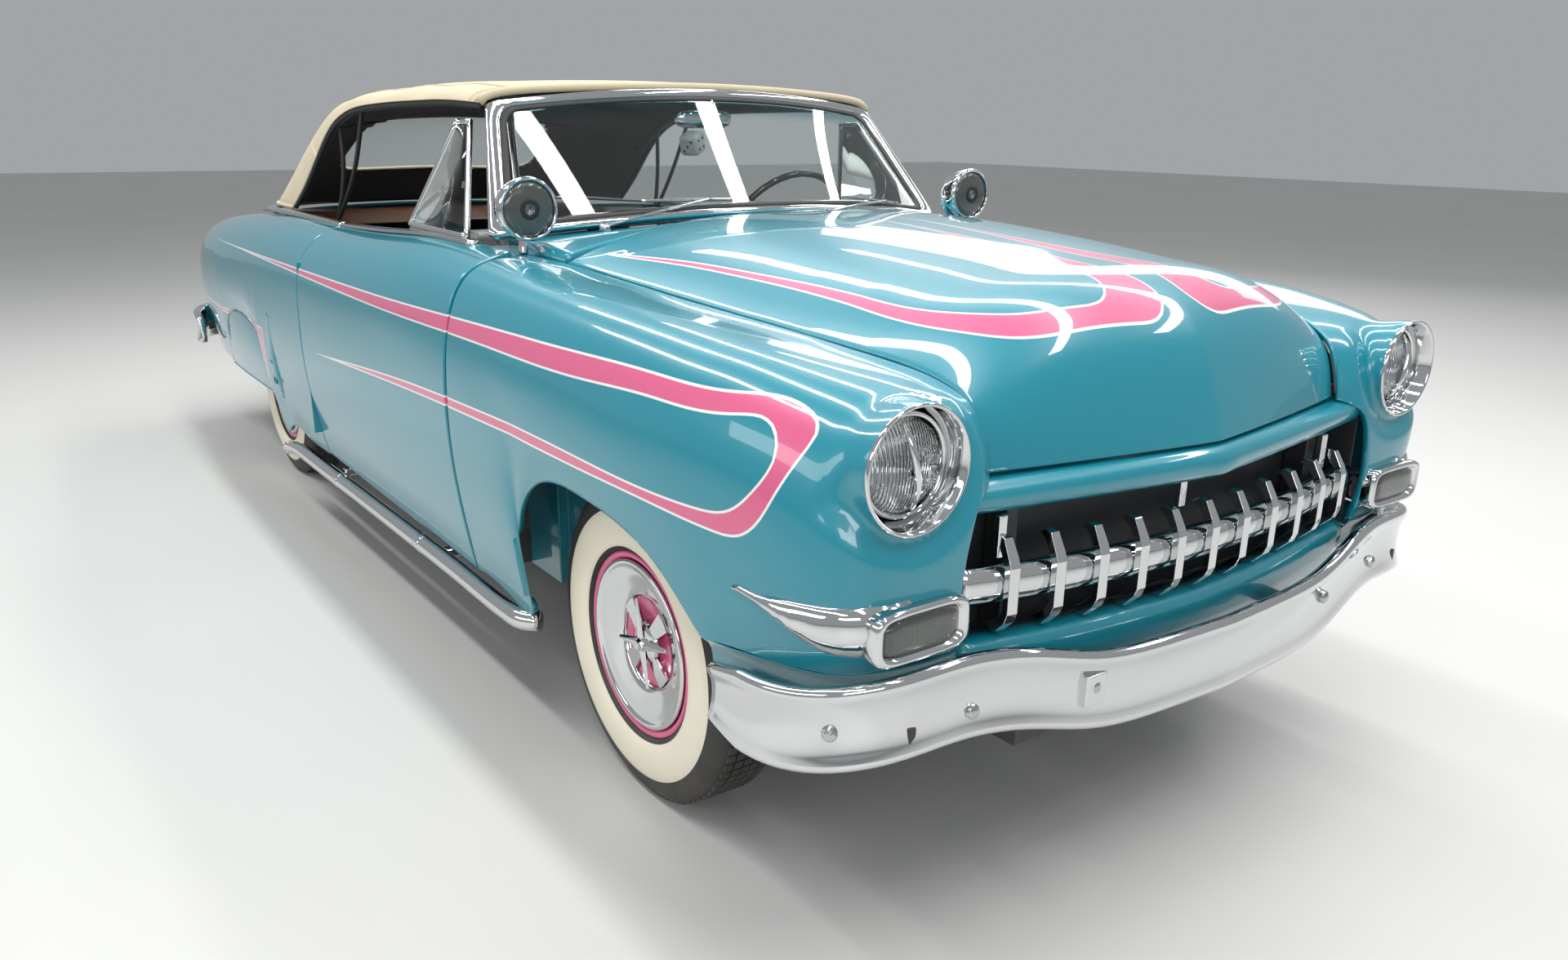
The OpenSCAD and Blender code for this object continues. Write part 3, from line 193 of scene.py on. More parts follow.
# %% Finish helper
def finish(name, colour, roughness, metallic=0.0, **sockets):
    """A material with its node tree, its main shader and the object's own coordinates."""
    material = bpy.data.materials.new(name)
    material.use_nodes = True
    tree = material.node_tree
    shader = tree.nodes["Principled BSDF"]
    for label, value in {"Base Color": (*colour, 1), "Roughness": roughness, "Metallic": metallic,
                         **sockets}.items():
        shader.inputs[label].default_value = value
    return material, tree, shader, add_node(tree, "ShaderNodeTexCoord").outputs["Object"]


def bumped(tree, shader, height, strength, depth=0.001):
    bump = add_node(tree, "ShaderNodeBump", {"Height": height, "Strength": strength, "Distance": depth})
    tied(tree, bump.outputs[0], shader.inputs["Normal"])


def vary_roughness(tree, shader, value, base):
    tied(tree, math_node(tree, "ADD", value, base), shader.inputs["Roughness"])


# %% [markdown]
# The body is sprayed turquoise with pink scallops and thin white outlines. Each panel's mesh stores
# how deep a point lies inside a scallop's outer and inner outline, in millimetres, and the paint
# compares the two.

# %% Body paint
turquoise, pink, line_white = (0.004, 0.215, 0.285), (0.66, 0.105, 0.235), (0.80, 0.80, 0.78)
body_paint, tree, shader, place = finish("turquoise_paint", turquoise, 0.38,
                                         **{"Coat Weight": 1.0, "Coat Roughness": 0.03})


def field(label):
    return add_node(tree, "ShaderNodeAttribute", attribute_name=label).outputs["Fac"]


def band_depth(label):
    return math_node(tree, "MINIMUM", field(label + "_outer"),
                     math_node(tree, "MULTIPLY", field(label + "_inner"), -1.0))


depth = math_node(tree, "MAXIMUM", band_depth("first"), band_depth("second"))
inside = math_node(tree, "MULTIPLY", depth, 2.0, clamp=True)
beyond_line = math_node(tree, "MULTIPLY", math_node(tree, "SUBTRACT", depth, 4.5), 2.0, clamp=True)
ground = add_node(tree, "ShaderNodeTexNoise", {"Vector": place, "Scale": 900.0, "Detail": 2.0}).outputs[0]
flake = mix_colour(tree, ground, turquoise, tuple(c * 1.12 for c in turquoise))
lined = mix_colour(tree, inside, flake, line_white)
painted = mix_colour(tree, beyond_line, lined, pink)
film = use_group(tree, dust, Place=place, Low=0.2, High=0.55, Amount=0.22)["Mask"]
tied(tree, mix_colour(tree, film, painted, (0.28, 0.30, 0.29)), shader.inputs["Base Color"])
vary_roughness(tree, shader, film, 0.30)
bumped(tree, shader, use_group(tree, ripple, Place=place, Size=170.0)["Height"], 0.035)

# %% Chrome, glass and lamps
def polished(name, colour, base, amount=0.10, size=26.0):
    material, tree, shader, place = finish(name, colour, base, 1.0)
    marks = use_group(tree, scuffs, Place=place, Size=size, Amount=amount)
    vary_roughness(tree, shader, marks["Value"], base - amount * 0.35)
    bumped(tree, shader, marks["Height"], 0.02, 0.0004)
    return material


chrome = polished("chrome", (0.70, 0.71, 0.72), 0.05)
worn_chrome = polished("worn_chrome", (0.52, 0.53, 0.53), 0.16, 0.22, 40.0)


def clear(name, colour, **sockets):
    material, tree, shader, place = finish(name, colour, 0.02, **{
        "Transmission Weight": 1.0, "IOR": 1.45, **sockets})
    marks = use_group(tree, scuffs, Place=place, Size=8.0, Amount=0.03)
    vary_roughness(tree, shader, marks["Value"], 0.0)
    return material, tree, shader, place


window_glass, tree, shader, place = clear("window_glass", (0.90, 0.97, 0.95),
                                          **{"Specular IOR Level": 0.12})
band = add_node(tree, "ShaderNodeAttribute", attribute_name="shade_band").outputs["Fac"]
tied(tree, mix_colour(tree, band, (0.90, 0.97, 0.95), (0.35, 0.62, 0.66)), shader.inputs["Base Color"])
lens_glass, tree, shader, place = clear("lens_glass", (0.95, 0.97, 0.97))
flutes = add_node(tree, "ShaderNodeTexWave", {"Vector": place, "Scale": 55.0}, bands_direction="Y")
bumped(tree, shader, flutes.outputs[1], 0.5, 0.003)
smoked_lens, tree, shader, place = finish("smoked_lens", (0.06, 0.065, 0.06), 0.12, **{"Coat Weight": 1.0})
flutes = add_node(tree, "ShaderNodeTexWave", {"Vector": place, "Scale": 60.0}, bands_direction="Y")
bumped(tree, shader, flutes.outputs[1], 0.3, 0.002)
red_lens, tree, shader, place = finish("red_lens", (0.42, 0.008, 0.008), 0.1, **{
    "Coat Weight": 1.0, "Subsurface Weight": 0.2, "Subsurface Scale": 0.01})
rings = add_node(tree, "ShaderNodeTexWave", {"Vector": place, "Scale": 60.0}, bands_direction="Z")
bumped(tree, shader, rings.outputs[1], 0.4, 0.003)

# %% Rubber, black parts and wheels
def plain_coat(name, colour, rough, dusty=0.25, low=0.0, high=0.6, bump=0.15, size=60.0, **sockets):
    material, tree, shader, place = finish(name, colour, rough, **sockets)
    marks = use_group(tree, scuffs, Place=place, Size=size, Amount=0.2)
    film = use_group(tree, dust, Place=place, Low=low, High=high, Amount=dusty)["Mask"]
    shade = mix_colour(tree, marks["Value"], colour, tuple(min(1, c * 1.6 + 0.01) for c in colour))
    tied(tree, mix_colour(tree, film, shade, (0.22, 0.20, 0.18)), shader.inputs["Base Color"])
    vary_roughness(tree, shader, marks["Value"], rough - 0.08)
    bumped(tree, shader, marks["Height"], bump, 0.0006)
    return material


# Black rubber for the seals; the same black is also painted shade in the headlight rings and the scoop
# slots.
seal_rubber = plain_coat("seal_rubber", (0.012, 0.012, 0.012), 0.55)
tread_rubber = plain_coat("tread_rubber", (0.018, 0.018, 0.018), 0.75, 0.5, 0.0, 0.5)
whitewall = plain_coat("whitewall_rubber", (0.80, 0.74, 0.58), 0.55, 0.10, 0.0, 0.3, 0.1, 20.0)
# Black steel for the frame, stays and irons; the same finish is also painted shade in the front bumper's
# jack slots.
black_steel = plain_coat("black_steel", (0.02, 0.02, 0.02), 0.45, 0.5)
floor_paint = plain_coat("floor_paint", (0.05, 0.052, 0.055), 0.6, 0.4)
engine_paint = plain_coat("engine_paint", (0.06, 0.10, 0.11), 0.55, 0.4)
dark_trim = plain_coat("dark_trim", (0.022, 0.024, 0.026), 0.42, 0.0)
black_enamel = plain_coat("black_enamel", (0.006, 0.006, 0.006), 0.18, 0.0, bump=0.02,
                          **{"Coat Weight": 0.8})
pink_enamel = plain_coat("pink_enamel", (0.62, 0.075, 0.20), 0.30, 0.1, 0.0, 0.4, 0.03,
                         **{"Coat Weight": 0.8})

# %% Cloth and hide
def fabric(name, colour, dark, threads, bump, rough=0.85, sheen=0.25):
    material, tree, shader, place = finish(name, colour, rough, **{"Sheen Weight": sheen})
    cloth = use_group(tree, weave, Place=place, Threads=threads)
    mottled = mix_colour(tree, cloth["Shade"], dark, colour)
    shaded = mix_colour(tree, math_node(tree, "MULTIPLY", cloth["Height"], 0.35), mottled,
                        tuple(c * 0.72 for c in colour))
    tied(tree, shaded, shader.inputs["Base Color"])
    bumped(tree, shader, cloth["Height"], bump, 0.0012)
    return material


def hide(name, colour, rough=0.42):
    material, tree, shader, place = finish(name, colour, rough, **{"Coat Weight": 0.15})
    skin_grain = use_group(tree, grain, Place=place, Size=480.0)
    tied(tree, mix_colour(tree, skin_grain["Shade"], tuple(c * 0.86 for c in colour), colour),
         shader.inputs["Base Color"])
    bumped(tree, shader, skin_grain["Height"], 0.25, 0.0008)
    return material


top_canvas = fabric("top_canvas", (0.66, 0.56, 0.37), (0.52, 0.44, 0.29), 420.0, 0.35)
top_lining = fabric("top_lining", (0.035, 0.033, 0.03), (0.02, 0.02, 0.02), 420.0, 0.3)
dark_carpet = fabric("dark_carpet", (0.045, 0.05, 0.055), (0.02, 0.022, 0.025), 160.0, 0.9)
die_plush = fabric("die_plush", (0.78, 0.78, 0.75), (0.6, 0.6, 0.58), 260.0, 0.9, 0.95, 0.6)
grey_hide = hide("grey_hide", (0.52, 0.53, 0.51))
white_hide = hide("white_hide", (0.70, 0.70, 0.67))
brown_hide = hide("brown_hide", (0.16, 0.065, 0.03))
pale_floor, tree, shader, place = finish("pale_floor", (0.60, 0.60, 0.58), 0.5)
cloud = add_node(tree, "ShaderNodeTexNoise", {"Vector": place, "Scale": 0.7, "Detail": 4.0}).outputs[0]
tied(tree, mix_colour(tree, cloud, (0.57, 0.57, 0.55), (0.63, 0.63, 0.61)), shader.inputs["Base Color"])
print("finishes:", len(bpy.data.materials))

# %% Floor
floor_mesh = bpy.data.meshes.new("studio_floor")
floor_mesh.from_pydata([(-30, -30, 0), (30, -30, 0), (30, 30, 0), (-30, 30, 0)], [], [(0, 1, 2, 3)])
floor_mesh.materials.append(pale_floor)
studio_floor = bpy.data.objects.new("studio_floor", floor_mesh)
bpy.context.scene.collection.objects.link(studio_floor)

# %% [markdown]
# ## Pressing tools
# A pressed panel is a smooth grid of points through a few listed ones. `skin` makes that grid,
# `rolled` turns its edges in like a folded flange, and `sheet` gives it a wall thickness.

# %% Smooth curves and grids
def smooth_through(knots, points, at):
    """Natural cubic curve through points (first axis) at the given knots, read at other places."""
    knots, points = np.asarray(knots, float), np.asarray(points, float)
    n, h = len(knots), np.diff(knots)
    if n == 2:
        share = ((at - knots[0]) / h[0])[(...,) + (None,) * (points.ndim - 1)]
        return points[0] + (points[1] - points[0]) * share
    matrix = np.zeros((n, n))
    matrix[0, 0] = matrix[-1, -1] = 1
    slopes = np.diff(points, axis=0) / h.reshape((-1,) + (1,) * (points.ndim - 1))
    bend = np.zeros_like(points)
    for k in range(1, n - 1):
        matrix[k, k - 1:k + 2] = h[k - 1], 2 * (h[k - 1] + h[k]), h[k]
        bend[k] = 6 * (slopes[k] - slopes[k - 1])
    curve = np.linalg.solve(matrix, bend.reshape(n, -1)).reshape(points.shape)
    k = np.clip(np.searchsorted(knots, at, side="right") - 1, 0, n - 2)
    shape = (-1,) + (1,) * (points.ndim - 1)
    a, b, w = (knots[k + 1] - at).reshape(shape), (at - knots[k]).reshape(shape), h[k].reshape(shape)
    return (curve[k] * a ** 3 + curve[k + 1] * b ** 3) / (6 * w) \
        + (points[k] / w - curve[k] * w / 6) * a + (points[k + 1] / w - curve[k + 1] * w / 6) * b


def knots_along(net):
    """Mean arc length down the rows of a net."""
    lengths = np.linalg.norm(np.diff(net, axis=0), axis=-1)
    return np.concatenate([[0], np.cumsum(lengths.reshape(len(lengths), -1).mean(1))])


def stations(knots, step, edge):
    """Places about a step apart, with one more near each end to keep the edge crisp."""
    total = knots[-1]
    even = np.linspace(0, total, max(3, round(total / step) + 1))
    return np.concatenate([[0], [edge], even[1:-1], [total - edge], [total]])


def skin(net, step=0.016, edge=0.006):
    net = np.asarray(net, float)
    across = knots_along(net.transpose(1, 0, 2))
    rows = smooth_through(across, net.transpose(1, 0, 2), stations(across, step, edge)).transpose(1, 0, 2)
    along = knots_along(net)
    return smooth_through(along, rows, stations(along, step, edge))


def curve_through(points, step=0.01):
    points = np.asarray(points, float)
    knots = knots_along(points[:, None, :])
    return smooth_through(knots, points, np.linspace(0, knots[-1], max(3, round(knots[-1] / step) + 1)))


def unit(v):
    return v / np.maximum(np.linalg.norm(v, axis=-1, keepdims=True), 1e-9)


def normals_of(grid):
    return unit(np.cross(np.gradient(grid, axis=0), np.gradient(grid, axis=1)))


def rolled(grid, radius=0.004, depth=0.018, sides="ftlr", turns=4):
    """The grid with its edges bent inwards: f and t are its first and last row, l and r its columns."""
    normal = normals_of(grid)

    def profile(want):
        steps = [(-radius + radius * math.sin(a), radius * (1 - math.cos(a)))
                 for a in np.linspace(0, math.pi / 2, turns)] + [(0, depth)]
        return steps if want else [(0, 0)]

    def spread(axis, first, last):
        count = grid.shape[axis]
        low, high = profile(first), profile(last)
        index = [0] * len(low) + list(range(1, count - 1)) + [count - 1] * len(high)
        shift = [t for t, _ in low[::-1]] + [0] * (count - 2) + [t for t, _ in high]
        sign = [-1] * len(low) + [0] * (count - 2) + [1] * len(high)
        drop = [d for _, d in low[::-1]] + [0] * (count - 2) + [d for _, d in high]
        return np.array(index), np.array(shift) * np.array(sign), np.array(drop)

    ri, rt, rd = spread(0, "f" in sides, "t" in sides)
    ci, ct, cd = spread(1, "l" in sides, "r" in sides)
    base, n = grid[ri][:, ci], normal[ri][:, ci]
    along, across = unit(np.gradient(grid, axis=0))[ri][:, ci], unit(np.gradient(grid, axis=1))[ri][:, ci]
    drop = np.maximum(rd[:, None], cd[None, :])
    return base + along * rt[:, None, None] + across * ct[None, :, None] - n * drop[..., None]


# %% [markdown]
# Meshes are written straight from arrays of points and faces. `piece` then gives a mesh its name and
# its body, and hides the imported nodes it stands for.

# %% Mesh helpers
def mesh_from(name, points, faces, smooth=True):
    mesh = bpy.data.meshes.new(name)
    mesh.from_pydata(np.asarray(points, float).reshape(-1, 3).tolist(), [],
                     faces if isinstance(faces, list) else np.asarray(faces).tolist())
    mesh.validate()
    if smooth:
        mesh.shade_smooth()
    item = bpy.data.objects.new(name, mesh)
    bpy.context.scene.collection.objects.link(item)
    return item


def grid_faces(rows, cols, wrap_rows=False, wrap_cols=False):
    i, j = np.meshgrid(np.arange(rows if wrap_rows else rows - 1),
                       np.arange(cols if wrap_cols else cols - 1),
                       indexing="ij")
    i2, j2 = (i + 1) % rows, (j + 1) % cols
    return np.stack([i * cols + j, i2 * cols + j, i2 * cols + j2, i * cols + j2], -1).reshape(-1, 4)


def baked(item):
    """The object with its modifiers made part of its mesh."""
    graph = bpy.context.evaluated_depsgraph_get()
    made = bpy.data.meshes.new_from_object(item.evaluated_get(graph), depsgraph=graph)
    item.modifiers.clear()
    old, item.data = item.data, made
    bpy.data.meshes.remove(old)
    return item


def with_wall(item, thickness, offset=-1.0):
    wall = item.modifiers.new("wall", "SOLIDIFY")
    wall.thickness, wall.offset = thickness, offset
    return baked(item)


def softened(item, width, segments=2, angle=30):
    bevel = item.modifiers.new("edge", "BEVEL")
    bevel.width, bevel.segments, bevel.limit_method = width, segments, "ANGLE"
    bevel.angle_limit = math.radians(angle)
    bevel.harden_normals = True
    return baked(item)


def sheet(name, grid, thickness=0.0015, keep=None):
    """A walled sheet from a grid whose normals point outwards; keep(points) picks the faces."""
    faces = grid_faces(*grid.shape[:2])
    points = grid.reshape(-1, 3)
    if keep is not None:
        faces = faces[keep(points)[faces].any(1)]
        used = np.unique(faces)
        table = np.full(len(points), -1)
        table[used] = np.arange(len(used))
        points, faces = points[used], table[faces]
    return with_wall(mesh_from(name, points, faces), thickness)


def loft(name, rings, caps=True, wrap=False):
    rings = np.asarray(rings, float)
    n, m = rings.shape[:2]
    faces = grid_faces(n, m, wrap, True).tolist()
    if caps and not wrap:
        faces += [list(range(m))[::-1], [(n - 1) * m + k for k in range(m)]]
    return mesh_from(name, rings, faces)


def outwards(item):
    """Turns every face of a closed shell outwards."""
    work = bmesh.new()
    work.from_mesh(item.data)
    bmesh.ops.remove_doubles(work, verts=work.verts, dist=1e-6)
    bmesh.ops.recalc_face_normals(work, faces=work.faces)
    work.to_mesh(item.data)
    work.free()
    return item


def lathe(name, profile, centre, axis="y", steps=64, side=1):
    """Turns a closed profile of (radius, distance along the axis) round that axis."""
    profile = np.asarray(profile, float)
    turn = np.linspace(0, 2 * math.pi, steps, endpoint=False)
    r, d = profile[None, :, 0], profile[None, :, 1] * side
    c, s = np.cos(turn)[:, None], np.sin(turn)[:, None]
    flat = {"x": (d + 0 * c, r * c, r * s), "y": (r * c, d + 0 * c, r * s), "z": (r * c, r * s, d + 0 * c)}
    rings = np.stack(flat[axis], -1) + np.asarray(centre, float)
    return outwards(mesh_from(name, rings, grid_faces(steps, len(profile), True, True)))


def tube(name, path, radius, sides=12, step=0.01, ends=True):
    """Round tube along a smooth path; radius is a number or one value for each point of the path."""
    path = curve_through(path, step)
    along = unit(np.gradient(path, axis=0))
    side = unit(np.cross(along, [0.0, 0.13, 1.0]))
    rise = np.cross(side, along)
    turn = np.linspace(0, 2 * math.pi, sides, endpoint=False)
    size = np.interp(np.linspace(0, 1, len(path)), np.linspace(0, 1, np.size(radius)),
                     np.atleast_1d(radius)) \
        if np.size(radius) > 1 else np.full(len(path), radius)
    rings = path[:, None] + size[:, None, None] * (np.cos(turn)[None, :, None] * side[:, None]
                                                   + np.sin(turn)[None, :, None] * rise[:, None])
    return outwards(loft(name, rings, ends))


def bar(name, low, high, bevel=0.004):
    low, high = np.minimum(low, high), np.maximum(low, high)
    corners = [(x, y, z) for z in (low[2], high[2]) for y in (low[1], high[1]) for x in (low[0], high[0])]
    item = mesh_from(name, corners, [[0, 2, 3, 1], [4, 5, 7, 6], [0, 1, 5, 4], [2, 6, 7, 3], [0, 4, 6, 2],
                                     [1, 3, 7, 5]], False)
    return softened(item, bevel) if bevel else item


def mirrored(item, name=None):
    """A copy on the other side of the car, with its faces still outwards."""
    mesh = item.data.copy()
    points = np.zeros(len(mesh.vertices) * 3, np.float32)
    mesh.vertices.foreach_get("co", points)
    points[1::3] *= -1
    mesh.vertices.foreach_set("co", points)
    mesh.flip_normals()
    twin = bpy.data.objects.new(name or item.name, mesh)
    bpy.context.scene.collection.objects.link(twin)
    return twin


def joined(name, items):
    """Several meshes as one piece, keeping each one's finish."""
    with bpy.context.temp_override(active_object=items[0], selected_editable_objects=items,
                                   selected_objects=items, object=items[0]):
        bpy.ops.object.join()
    items[0].name = items[0].data.name = name
    return items[0]


def dressed(item, *finishes):
    item.data.materials.clear()
    for f in finishes:
        item.data.materials.append(f)
    return item


made = []


def piece(item, name, body, slot, *stands_for):
    item.name = item.data.name = name
    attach(item, body)
    if stands_for:
        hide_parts(*stands_for)
    made.append(item)
    item.data.calc_loop_triangles()
    print(f"{name}: {len(item.data.loop_triangles)} triangles")
    return item


def both_sides(build, name, body, slot, node=None):
    """A left piece and its mirror image; body and node may hold a * for left or right."""
    item = build
    twin = mirrored(item)
    for part, side in ((item, "left"), (twin, "right")):
        piece(part, f"{name}_{side}", body.replace("*", side), slot,
              *([node.replace("*", side)] if node else []))
    return item, twin

# %% [markdown]
# ## Body panels
# Each panel is a net of points: distance from an axle, inset from the widest line of the
# body, and height. A natural curve through them gives the crown of pressed steel, which reflections
# need far more than they need detail. Gaps between panels are left as the real shut lines.

# %% Panel nets
front_x, rear_x, half_width = 1.660, -1.261, 0.943
fender_net = [
    [(-649, 243, 1080), (-649, 153, 1080), (-649, 71, 1045), (-649, 25, 960), (-649, 5, 830),
     (-649, 8, 600), (-649, 50, 322)],
    [(-520, 260, 1076), (-520, 160, 1076), (-520, 74, 1042), (-520, 26, 958), (-515, 5, 828),
     (-510, 8, 600), (-500, 50, 322)],
    [(-420, 275, 1069), (-415, 167, 1071), (-410, 77, 1040), (-400, 27, 955), (-385, 6, 825),
     (-360, 12, 590), (-330, 50, 322)],
    [(-330, 281, 1063), (-325, 172, 1067), (-320, 80, 1038), (-315, 28, 952), (-310, 6, 825),
     (-320, 15, 640), (-338, 36, 450)],
    [(-220, 288, 1057), (-215, 177, 1063), (-212, 83, 1036), (-215, 29, 950), (-225, 7, 828),
     (-255, 9, 690), (-292, 22, 590)],
    [(-110, 295, 1050), (-108, 182, 1058), (-108, 86, 1034), (-110, 31, 948), (-120, 8, 830),
     (-140, 6, 735), (-160, 14, 680)],
    [(0, 303, 1044), (0, 188, 1053), (0, 90, 1031), (0, 33, 945), (0, 9, 830), (0, 6, 750), (0, 12, 697)],
    [(150, 313, 1037), (152, 197, 1046), (154, 96, 1025), (158, 37, 940), (164, 12, 828), (168, 10, 740),
     (172, 15, 680)],
    [(300, 328, 1028), (302, 210, 1037), (304, 106, 1018), (305, 44, 935), (305, 20, 822), (304, 18, 715),
     (302, 25, 625)],
    [(430, 351, 1015), (435, 228, 1025), (436, 120, 1008), (432, 56, 925), (422, 32, 810), (412, 30, 680),
     (400, 38, 545)],
    [(540, 378, 1000), (552, 262, 1010), (560, 145, 992), (556, 78, 915), (540, 50, 800), (500, 44, 660),
     (445, 44, 545)],
    [(610, 398, 980), (636, 300, 990), (655, 185, 972), (660, 112, 900), (650, 78, 790), (615, 66, 655),
     (560, 76, 548)],
    [(655, 412, 950), (690, 335, 958), (712, 240, 940), (722, 165, 885), (720, 125, 790), (700, 108, 655),
     (662, 122, 552)],
    [(680, 419, 900), (708, 372, 905), (726, 310, 890), (735, 245, 845), (738, 195, 760), (728, 175, 650),
     (706, 192, 556)],
    [(692, 421, 838), (712, 400, 830), (728, 370, 815), (736, 350, 780), (738, 335, 715), (736, 330, 640),
     (724, 335, 560)],
]
door_net = [
    [(-663, 188, 1092), (-663, 153, 1084), (-663, 71, 1047), (-663, 25, 962), (-663, 5, 832),
     (-663, 8, 602), (-663, 50, 322)],
    [(-1060, 188, 1094), (-1060, 143, 1088), (-1060, 75, 1050), (-1060, 23, 965), (-1060, 4, 830),
     (-1060, 7, 600), (-1060, 53, 322)],
    [(-1490, 191, 1074), (-1490, 143, 1068), (-1490, 75, 1032), (-1490, 22, 950), (-1490, 2, 820),
     (-1490, 5, 600), (-1490, 53, 322)],
    [(-1914, 198, 1060), (-1920, 145, 1054), (-1926, 75, 1019), (-1927, 21, 943), (-1927, 3, 816),
     (-1927, 6, 600), (-1926, 53, 322)],
]
quarter_net = [
    [(1001, 198, 1060), (995, 145, 1054), (989, 75, 1019), (988, 21, 943), (988, 3, 815), (988, 6, 600),
     (989, 53, 318)],
    [(700, 205, 1054), (700, 148, 1050), (700, 75, 1015), (700, 21, 938), (700, 2, 810), (700, 5, 600),
     (700, 55, 318)],
    [(480, 218, 1048), (480, 153, 1046), (480, 77, 1010), (480, 22, 932), (480, 2, 800), (480, 5, 590),
     (485, 57, 300)],
    [(370, 228, 1046), (370, 157, 1043), (372, 78, 1007), (376, 23, 928), (382, 3, 795), (390, 6, 580),
     (395, 59, 285)],
    [(290, 238, 1042), (292, 162, 1040), (300, 80, 1004), (315, 24, 925), (335, 4, 790), (360, 10, 600),
     (382, 50, 420)],
    [(200, 245, 1038), (204, 168, 1036), (212, 83, 1000), (230, 26, 922), (260, 4, 788), (295, 14, 650),
     (328, 38, 550)],
    [(100, 253, 1032), (103, 174, 1031), (108, 86, 996), (120, 28, 918), (140, 6, 790), (162, 14, 705),
     (182, 28, 640)],
    [(0, 261, 1025), (0, 180, 1026), (0, 90, 990), (0, 31, 912), (0, 9, 790), (0, 14, 715), (0, 25, 665)],
    [(-130, 271, 1017), (-128, 188, 1018), (-128, 95, 984), (-135, 35, 906), (-150, 12, 786),
     (-167, 18, 700), (-182, 29, 640)],
    [(-260, 281, 1009), (-258, 197, 1010), (-258, 101, 976), (-270, 40, 898), (-290, 16, 776),
     (-310, 24, 650), (-328, 43, 550)],
    [(-390, 293, 1000), (-388, 207, 1001), (-386, 108, 968), (-388, 46, 890), (-388, 22, 765),
     (-385, 34, 600), (-382, 57, 420)],
    [(-520, 307, 990), (-518, 219, 991), (-514, 117, 958), (-508, 54, 880), (-500, 29, 755),
     (-490, 41, 590), (-480, 66, 398)],
    [(-720, 325, 974), (-718, 236, 974), (-714, 132, 942), (-708, 68, 864), (-700, 43, 740),
     (-695, 54, 585), (-690, 82, 402)],
    [(-920, 343, 950), (-918, 255, 951), (-914, 152, 920), (-908, 90, 845), (-900, 66, 725),
     (-895, 76, 580), (-890, 106, 418)],
    [(-1070, 360, 920), (-1070, 278, 925), (-1070, 180, 896), (-1066, 122, 825), (-1060, 98, 715),
     (-1055, 105, 580), (-1045, 135, 435)],
    [(-1135, 372, 880), (-1150, 310, 888), (-1160, 230, 866), (-1164, 170, 810), (-1162, 145, 715),
     (-1155, 150, 590), (-1140, 180, 445)],
    [(-1155, 385, 840), (-1168, 350, 828), (-1178, 325, 790), (-1184, 310, 735), (-1184, 305, 670),
     (-1180, 305, 570), (-1166, 310, 452)],
]


def placed(net, axle):
    points = np.array(net, float) / 1000
    return np.stack([axle + points[..., 0], half_width - points[..., 1], points[..., 2]], -1)


# %% [markdown]
# A scallop is two outlines in the panel's flat plane: the band between them is pink. The depth
# inside each outline is stored on the mesh, so the paint's edge stays sharp on any mesh.

# %% Scallop outlines
def flow(*legs):
    return np.concatenate([curve_through(np.array(leg, float), 0.02) for leg in legs])


def depth_in(points, outline):
    """How deep each flat point lies inside a closed outline, in millimetres."""
    a, b = outline, np.roll(outline, -1, axis=0)
    d = b - a
    p = points[:, None] - a[None]
    t = np.clip((p * d).sum(-1) / np.maximum((d * d).sum(-1), 1e-12), 0, 1)
    far = np.sqrt(((p - t[..., None] * d) ** 2).sum(-1)).min(1)
    rise = np.where(np.abs(d[:, 1]) < 1e-9, 1e-9, d[:, 1])
    meets = (a[:, 1] > points[:, None, 1]) != (b[:, 1] > points[:, None, 1])
    meets &= points[:, None, 0] < d[:, 0] * p[..., 1] / rise + a[:, 0]
    return np.where(meets.sum(1) % 2, far, -far) * 1000


side_outer = flow([(-3.72, .897), (-2.70, .923), (-1.62, .937), (-.92, .950), (-.43, .963), (-.06, .971),
                   (.23, .976), (.44, .979), (.585, .973), (.620, .948), (.613, .905), (.585, .842),
                   (.552, .785), (.515, .757), (.45, .749), (.29, .754), (0, .754), (-.40, .750),
                   (-.92, .732), (-1.80, .688)])
side_inner = flow([(-3.78, .897), (-2.68, .916), (-1.60, .911), (-.91, .912), (-.40, .918), (-.03, .922),
                   (.25, .934), (.46, .943), (.545, .938), (.565, .904), (.54, .845), (.487, .797),
                   (.405, .782), (.29, .779), (0, .781), (-.395, .777), (-.92, .755), (-1.82, .686)],
                  [(-2.3, .60), (-3.4, .70), (-3.9, .88)])
rear_outer = flow([(-4.02, .634), (-3.29, .642), (-2.80, .657), (-2.446, .672)],
                  [(-2.448, .668), (-2.486, .551), (-2.55, .39)], [(-2.9, .3), (-4.02, .45)])
rear_inner = flow([(-4.10, .634), (-3.29, .624), (-2.80, .625), (-2.515, .629)],
                  [(-2.517, .625), (-2.53, .551), (-2.562, .37)], [(-3.0, .25), (-4.15, .40)])
hood_outer = flow([(-.47, .611), (-.16, .562), (.10, .534), (.33, .515), (.51, .482), (.60, .415),
                   (.645, .27),
                   (.664, .14), (.662, .07), (.64, .043), (.55, .038), (.378, .032), (.158, .034),
                   (0, .040),
                   (-.23, .047)])
hood_inner = flow([(-.50, .608), (-.19, .545), (.07, .510), (.29, .482), (.47, .445), (.565, .37),
                   (.604, .25),
                   (.606, .175), (.58, .145), (.50, .125), (.373, .100), (.207, .075), (0, .055),
                   (-.25, .047)],
                  [(-.5, .1), (-.7, .5)])


